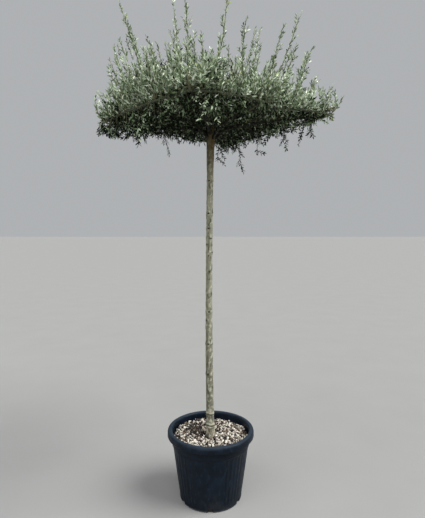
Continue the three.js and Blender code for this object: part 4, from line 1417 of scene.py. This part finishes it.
def side_twigs(index, lines, height, droop, mass, dice):
    """Lines of the side twigs of a mass's shoots. Each curves up or droops a little by a dice. One that
    would leave the cell is cut short, and dropped if that isn't enough. Those that would hang lower than
    the underside are dropped too, but for some on the longest hanging shoots. Above the mass's dense
    height they are shorter and fewer, so that sky shows between the tall shoots."""
    cell = mass["cell"]
    owner, number, many, share = along(lines, TWIG_SPACING, TWIG_START)
    angle = index[owner] + (number + 1) * GOLDEN_TURN
    above = curve_points(lines[owner], u_at(lines[owner], share[:, None]))[:, 0, 2] - ROOF_HEIGHT
    sparse = ease((above - 0.5 * mass["dense"]) / (0.5 * mass["dense"] + 70))
    lean = np.where(number == many - 1, LEAN_AHEAD, blend(*TWIG_LEAN, sparse))
    root, way = sprout(lines, owner, share, angle, lean)
    long = blend(*TWIG_LONG, sparse) * blend(1, TWIG_AT_TIP, share**2)
    long = long * dice.uniform(*TWIG_VARIES, len(root))
    tilted = way + dice.normal(*TWIG_LIFT, (len(root), 1)) * UP
    fits = inside_cell(root + tilted * long[:, None], cell, TWIG_MARGIN)
    long = (long * np.where(fits, 1, CUT_SHORT))[:, None]
    end, bend = root + tilted * long, root + way * TWIG_BEND * long
    kept = inside_cell(end, cell, TWIG_MARGIN) & inside_cell(bend, cell, BEND_MARGIN) & inside_box(end)
    lowest = ROOF_HEIGHT + np.minimum(LOWEST_TWIG[0], -LOWEST_TWIG[1] * droop[owner])
    hanging = np.where(end[:, 2] > lowest, 0, np.where(height[owner] < -1.2 * droop[owner], 0.5, 1))
    kept &= dice.random(len(root)) > np.maximum(TWIGS_LEFT_OUT * sparse, hanging)
    return np.stack([root, bend, end], 1)[kept], owner[kept]


trial_dice = np.random.default_rng(3)
*trial, _ = shoot_lines(MASSES["near_right_side"])
trial_twigs, _ = side_twigs(*trial, MASSES["near_right_side"], trial_dice)
print("Side twigs on the near right side:", len(trial_twigs))

# %% Spurs on limbs and stems
SPUR_SPACING = 8
SPUR_LONG = (28, 66)
SPUR_START = 0.22
SPUR_LEAN = 0.5


def spurs(cell, dice):
    """Short twigs straight out of the bark, turned round by the golden turn: on the part of every limb
    that lies in the cell, and on the stem of the cell's mass."""
    lines = np.stack([*(line for line, _ in limbs.values()), stem_line(cell)])
    owner, number, _, share = along(lines, SPUR_SPACING, SPUR_START)
    root, way = sprout(lines, owner, share, number * GOLDEN_TURN, np.full(len(owner), SPUR_LEAN))
    long = dice.uniform(*SPUR_LONG, len(root))[:, None]
    bend, end = root + 0.5 * long * way, root + long * unit(way + 0.25 * UP)
    kept = inside_cell(root, cell, 3) & inside_cell(end, cell, TWIG_MARGIN) & inside_box(end)
    return np.stack([root, bend, end], 1)[kept]


print("Spurs on the near right side:", len(spurs((0, -1), trial_dice)))

# %% Twigs that hide a limb
SEEN_MARKS = 32
SEEN_FROM = -10
SEEN_BELOW = 4
SEEN_WITHIN = 50
BARED = 0.94


def hides_limb(point):
    """True where a twig's end would hide a limb along the roof's side from someone who stands outside:
    close to it, and hardly higher or further in than its nearest point."""
    on_edges = limb_marks.reshape(len(limbs), LIMB_MARKS, 3)[-len(EDGE_LIMBS):, :SEEN_MARKS]
    marks = on_edges.reshape(-1, 3)
    apart = point[:, None] - marks
    nearest = length_of(apart).argmin(1)
    apart = apart[np.arange(len(point)), nearest]
    beyond = (apart[:, :2] * unit(marks[nearest, :2])).sum(-1)
    is_close = length_of(apart) < SEEN_WITHIN
    return (beyond > SEEN_FROM) & (apart[:, 2] < SEEN_BELOW) & is_close


print("Twigs there that would hide a limb:", int(hides_limb(trial_twigs[:, 2]).sum()))

# %% Leaves as arrays
# Spacing of the leaves, share of the length where they start, and how far they lean ahead
LEAVES_ON_TWIG = (4, 0.08, 1.15)
LEAVES_ON_SHOOT = (5.2, 0.14, 1.2)
LEAF_LONG = (21, 18)
LEAF_VARIES = (0.68, 1.18)
LEAF_AT_TIP = 0.78
LEAF_WIDE = 0.32
LEAF_ROLL = 0.95
LEAF_THICK = 0.6
UPPER_FACES = np.array([[6, 2, 0], [6, 0, 3], [6, 3, 5], [6, 5, 1], [6, 1, 4], [6, 4, 2]])
LOWER_FACES = (UPPER_FACES + (UPPER_FACES > 5))[:, ::-1]


def leaf_places(lines, spacing, first, lean, dice):
    """Root, direction and length of leaves round each twig. The last one of each points ahead."""
    phase = dice.uniform(0, 6, len(lines))
    owner, number, many, share = along(lines, spacing, first)
    angle = phase[owner] + number * GOLDEN_TURN + dice.normal(0, 0.25, len(owner))
    leans = np.where(number == many - 1, LEAN_AHEAD, lean) + dice.normal(0, 0.15, len(owner))
    root, way = sprout(lines, owner, share, angle, leans)
    way = unit(way + 0.2 * UP + dice.normal(0, 0.1, way.shape))
    long = blend(*LEAF_LONG, smallness(root)) * dice.uniform(*LEAF_VARIES, len(owner))
    return root, way, long * blend(1, LEAF_AT_TIP, share), owner


def leaf_points(root, way, long, dice):
    """Eight points a leaf: six round its rim, at 0, 0.3, 0.68 and 1 along it, and one in the middle of
    each side. The rim is raised or lowered by the fold, and the tip droops."""
    count = len(root)
    wide = long * LEAF_WIDE * dice.uniform(0.8, 1.2, count)
    across = unit(np.cross(UP, way) + 1e-3)
    facing = np.cross(way, across)
    facing, across = turned(facing, across, dice.normal(0, LEAF_ROLL, count)[:, None])
    fold = dice.normal(0.04, 0.12, count) * wide
    droop = dice.normal(0.08, 0.07, count) * long
    x = np.array([0, 1, 0.3, 0.3, 0.68, 0.68, 0.5, 0.5])
    y = np.array([0, 0, 0.5, -0.5, 0.4, -0.4, 0, 0])
    on_rim = np.array([0, 0, 1, 1, 1, 1, 0, 0])
    layer = np.array([0, 0, 0, 0, 0, 0, 1, -1])
    z = on_rim * fold[:, None] + layer * LEAF_THICK / 2 - x**2 * droop[:, None]
    spot = root[:, None] + (x * long[:, None])[..., None] * way[:, None]
    return spot + (y * wide[:, None])[..., None] * across[:, None] + z[..., None] * facing[:, None]


print("Triangles a leaf:", len(UPPER_FACES) + len(LOWER_FACES))

# %% [markdown]
# Leaves differ from spray to spray: deep green inside the crown, sage where the light reaches, and yellow
# green on the newest tips. Light reaches a spray that is high, near the rim or on the near side. A leaf's
# upper side takes one of eight plain tones, dealt out by spray, and its underside one of three, from
# nearly black in the shade to silvery. Plain tones stay put when the tree is exported, while a pattern
# over hundreds of thousands of small faces would not.
# The deep tone and the dim underside are painted shade, and the grey and the pale tones painted light.

# %% Finishes of twigs and leaves
def leaf_finish(name, colour, roughness=0.5, gloss=0.3):
    """One plain tone for one side of a leaf, with its roughness and its gloss."""
    leaf = Finish(name, Roughness=roughness, Specular_IOR_Level=gloss)
    leaf.shader.inputs["Base Color"].default_value = colour
    return leaf


# From painted shade, the deep and dim tones, to painted light, the grey and pale ones
leaf_finishes = [
    leaf_finish("leaf_deep", tint(7, 15, 4), 0.6, 0.1),
    leaf_finish("leaf_green", tint(38, 58, 28), 0.55, 0.2),
    leaf_finish("leaf_dull", tint(88, 110, 73)),
    leaf_finish("leaf_sage", tint(148, 170, 131)),
    leaf_finish("leaf_grey", tint(190, 207, 175)),
    leaf_finish("leaf_pale", tint(230, 239, 217)),
    leaf_finish("leaf_olive", tint(122, 132, 78)),
    leaf_finish("leaf_young", tint(162, 172, 104)),
    leaf_finish("underside_dim", tint(20, 29, 14), 0.7, 0.1),
    leaf_finish("underside_dull", tint(118, 135, 105), 0.7, 0.2),
    leaf_finish("underside_silver", tint(198, 210, 186), 0.7, 0.2),
]
TONES_DEEP = (0.62, 0.25, 0.08, 0.02, 0.01, 0.0, 0.02, 0.0)
TONES_LOW = (0.27, 0.18, 0.17, 0.16, 0.12, 0.06, 0.03, 0.01)
TONES_HIGH = (0.1, 0.13, 0.15, 0.2, 0.21, 0.15, 0.04, 0.02)

twig_bark = Finish("twig_bark", Roughness=0.75, Specular_IOR_Level=0.3)
mottle = twig_bark.step(twig_bark.noise(60, 3), 0.35, 0.7)
# Low twigs are dark old wood, also painted darker there as shade in the crown
age_and_shade = twig_bark.step(twig_bark.height(), 1.6, 1.78)
old_wood_in_shade = twig_bark.mixed(mottle, tint(30, 28, 19), tint(66, 65, 49))
twig_bark.into("Base Color", twig_bark.mixed(age_and_shade, old_wood_in_shade, tint(112, 114, 84)))
twig_bark.bumped(twig_bark.noise(500, 3), 0.0004, 0.6)
print("Leaf tones:", len(leaf_finishes))

# %% Tones by light
LIGHT = {"height": 1.8, "aside": 0.18, "past_far": 0.4, "depth": 0.2, "least": 65}
FAR_EDGE = 330
DEEP_BELOW = 120
HIGH_ABOVE = 100
BRIGHT_ABOVE = 120
A_STEP_DARKER = 0.15
NEWEST_FROM = 330
NEWEST_SHARE = 0.3
PALE_TONE, OLIVE_TONE, YOUNG_TONE = 4, 6, 7
DIM_UNDER, DULL_UNDER = 8, 9
DIM_SHARES = (0.75, 0.25)


def spray_light(end):
    """How much light is painted on a spray by where it ends: more with its height, towards the left
    and right, on the near side and past the roof's far edge. Below 0 it is painted as in the shade."""
    light = LIGHT["height"] * (end[:, 2] - ROOF_HEIGHT) + LIGHT["aside"] * np.abs(end[:, 0])
    past_far = LIGHT["past_far"] * np.maximum(end[:, 1] - FAR_EDGE, 0)
    return light + (past_far - LIGHT["depth"] * end[:, 1] - LIGHT["least"])


def spray_tones(light, dice):
    """A tone for each spray, dealt from the deep, low or high shares by its light, so the tones paint light
    and shade.
    """
    count = len(light)
    is_deep = dice.random(count) < ease(-light / DEEP_BELOW)
    deep, low, high = (dice.choice(8, count, p=p) for p in (TONES_DEEP, TONES_LOW, TONES_HIGH))
    is_high = dice.random(count) < ease(light / HIGH_ABOVE)
    return np.where(is_high, high, np.where(is_deep, deep, low))


def leaf_tones(tone, light, height, dice):
    """Finishes of each leaf's two sides. A few leaves are a step darker than their spray, and some of the
    highest are new growth. Undersides are painted brighter where there is light, and mostly dim in the
    shade."""
    count = len(tone)
    tone = np.where(dice.random(count) < A_STEP_DARKER, np.maximum(tone - 1, 0), tone)
    is_new = (height > ROOF_HEIGHT + NEWEST_FROM) & (dice.random(count) < NEWEST_SHARE)
    tone = np.where(is_new, np.where(dice.random(count) < 0.3, YOUNG_TONE, OLIVE_TONE), tone)
    is_bright = dice.random(count) < ease(light / BRIGHT_ABOVE)
    bright = DULL_UNDER + dice.choice(2, count)
    dim = DIM_UNDER + dice.choice(2, count, p=DIM_SHARES)
    return np.stack([tone, np.where(is_bright, bright, dim)], 1)


print("Light at the near corner:", spray_light(roof_point([(-1.0, -1.0)]))[0].round(1))

# %% Wood of one mass
SHOOT = {"base": 2.7, "tip": 1.0}
FOLIAGE_STEM = {"base": 4.6, "tip": 2.0}


def joined_tubes(families):
    """Points and triangles of several families of curves, each with its radii and its columns."""
    parts, start = [], 0
    for lines, radii, columns in families:
        grid, middle, _ = tube_grids(lines, radii, columns)
        points, faces = closed_tubes(grid, middle[:, 0], middle[:, -1])
        parts.append((points, faces + start))
        start += len(points)
    return [np.concatenate(both) for both in zip(*parts)]


two_tubes = joined_tubes([(straight[None], np.ones((1, 3)), 6)] * 2)
print("Points and triangles of two short tubes:", [len(values) for values in two_tubes])

# %% Grow every mass
TWIG_RADII = np.linspace(1.25, 0.55, 4)
ALONG_SHOOT = np.linspace(0, 1, 9)
STEM_RADII = blend(FOLIAGE_STEM["tip"], FOLIAGE_STEM["base"], (1 - ALONG_SHOOT) ** 3)
SHOOT_RADII = blend(SHOOT["base"], SHOOT["tip"], ALONG_SHOOT)
LEAF_MARGIN = 0.5
BARK_MARGIN = 2

leaf_count = 0
for number, (name, mass) in enumerate(MASSES.items()):
    dice = np.random.default_rng(100 + number)
    cell = mass["cell"]
    index, shoots, height, droop, stem = shoot_lines(mass)
    twigs, on_shoot = side_twigs(index, shoots, height, droop, mass, dice)
    short = spurs(cell, dice)
    # Sprays on the last set shoots are painted in the palest tone, as lit
    is_lit_pale = index >= SHOOTS_PER_MASS + mass["more"] - mass.get("pale", 0)
    twigs = np.concatenate([twigs, short])
    on_lit_pale = np.concatenate([is_lit_pale[on_shoot], np.zeros(len(short), bool)])
    bared = hides_limb(twigs[:, 2]) & ~on_lit_pale & (dice.random(len(twigs)) < BARED)
    twigs, on_lit_pale = twigs[~bared], np.concatenate([on_lit_pale[~bared], is_lit_pale])

    # Wood: the stem, the shoots, which are thinner the shorter they are, and the twigs
    shoot_radii = SHOOT_RADII[None] * blend(0.75, 1.0, ease(height / 400)[:, None])
    twig_radii = np.repeat(TWIG_RADII[None], len(twigs), 0)
    wood_points, wood_faces = joined_tubes([
        (stem[None], STEM_RADII[None], 10), (shoots, shoot_radii, 6), (twigs, twig_radii, 4),
    ])
    piece("twigs_" + name, wood_points, wood_faces, [twig_bark], ["foliage_" + name])

    # Leaves, kept inside the cell and the box, and clear of the bark
    on_twig = leaf_places(twigs, *LEAVES_ON_TWIG, dice)
    on_main = leaf_places(shoots, *LEAVES_ON_SHOOT, dice)
    root, way, long = (np.concatenate([a, b]) for a, b in zip(on_twig[:3], on_main[:3]))
    spray = np.concatenate([on_twig[3], len(twigs) + on_main[3]])
    tip = root + way * long[:, None]
    kept = inside_cell(tip, cell, LEAF_MARGIN) & inside_cell(root, cell, LEAF_MARGIN) & inside_box(tip)
    kept &= clear_of_limbs(blend(root, tip, 0.5), BARK_MARGIN)
    root, way, long, spray = root[kept], way[kept], long[kept], spray[kept]

    # Each spray's tone paints its light and shade by where it ends
    light = spray_light(np.concatenate([twigs[:, 2], shoots[:, 2]]))
    tone = np.where(on_lit_pale, PALE_TONE, spray_tones(light, dice))[spray]
    sides = leaf_tones(tone, light[spray], root[:, 2], dice)
    points = leaf_points(root, way, long, dice)
    faces = np.concatenate([UPPER_FACES, LOWER_FACES])[None] + 8 * np.arange(len(root))[:, None, None]
    piece(
        "leaves_" + name, points.reshape(-1, 3), faces.reshape(-1, 3), leaf_finishes,
        ["foliage_" + name], smooth=False, finish_of_face=np.repeat(sides, 6, 1).ravel(),
    )
    leaf_count += len(root)
    print(name, "shoots", len(shoots), "twigs", len(twigs), "leaves", len(root))
print("Leaves in all:", leaf_count, "triangles in all:", sum(triangles.values()))
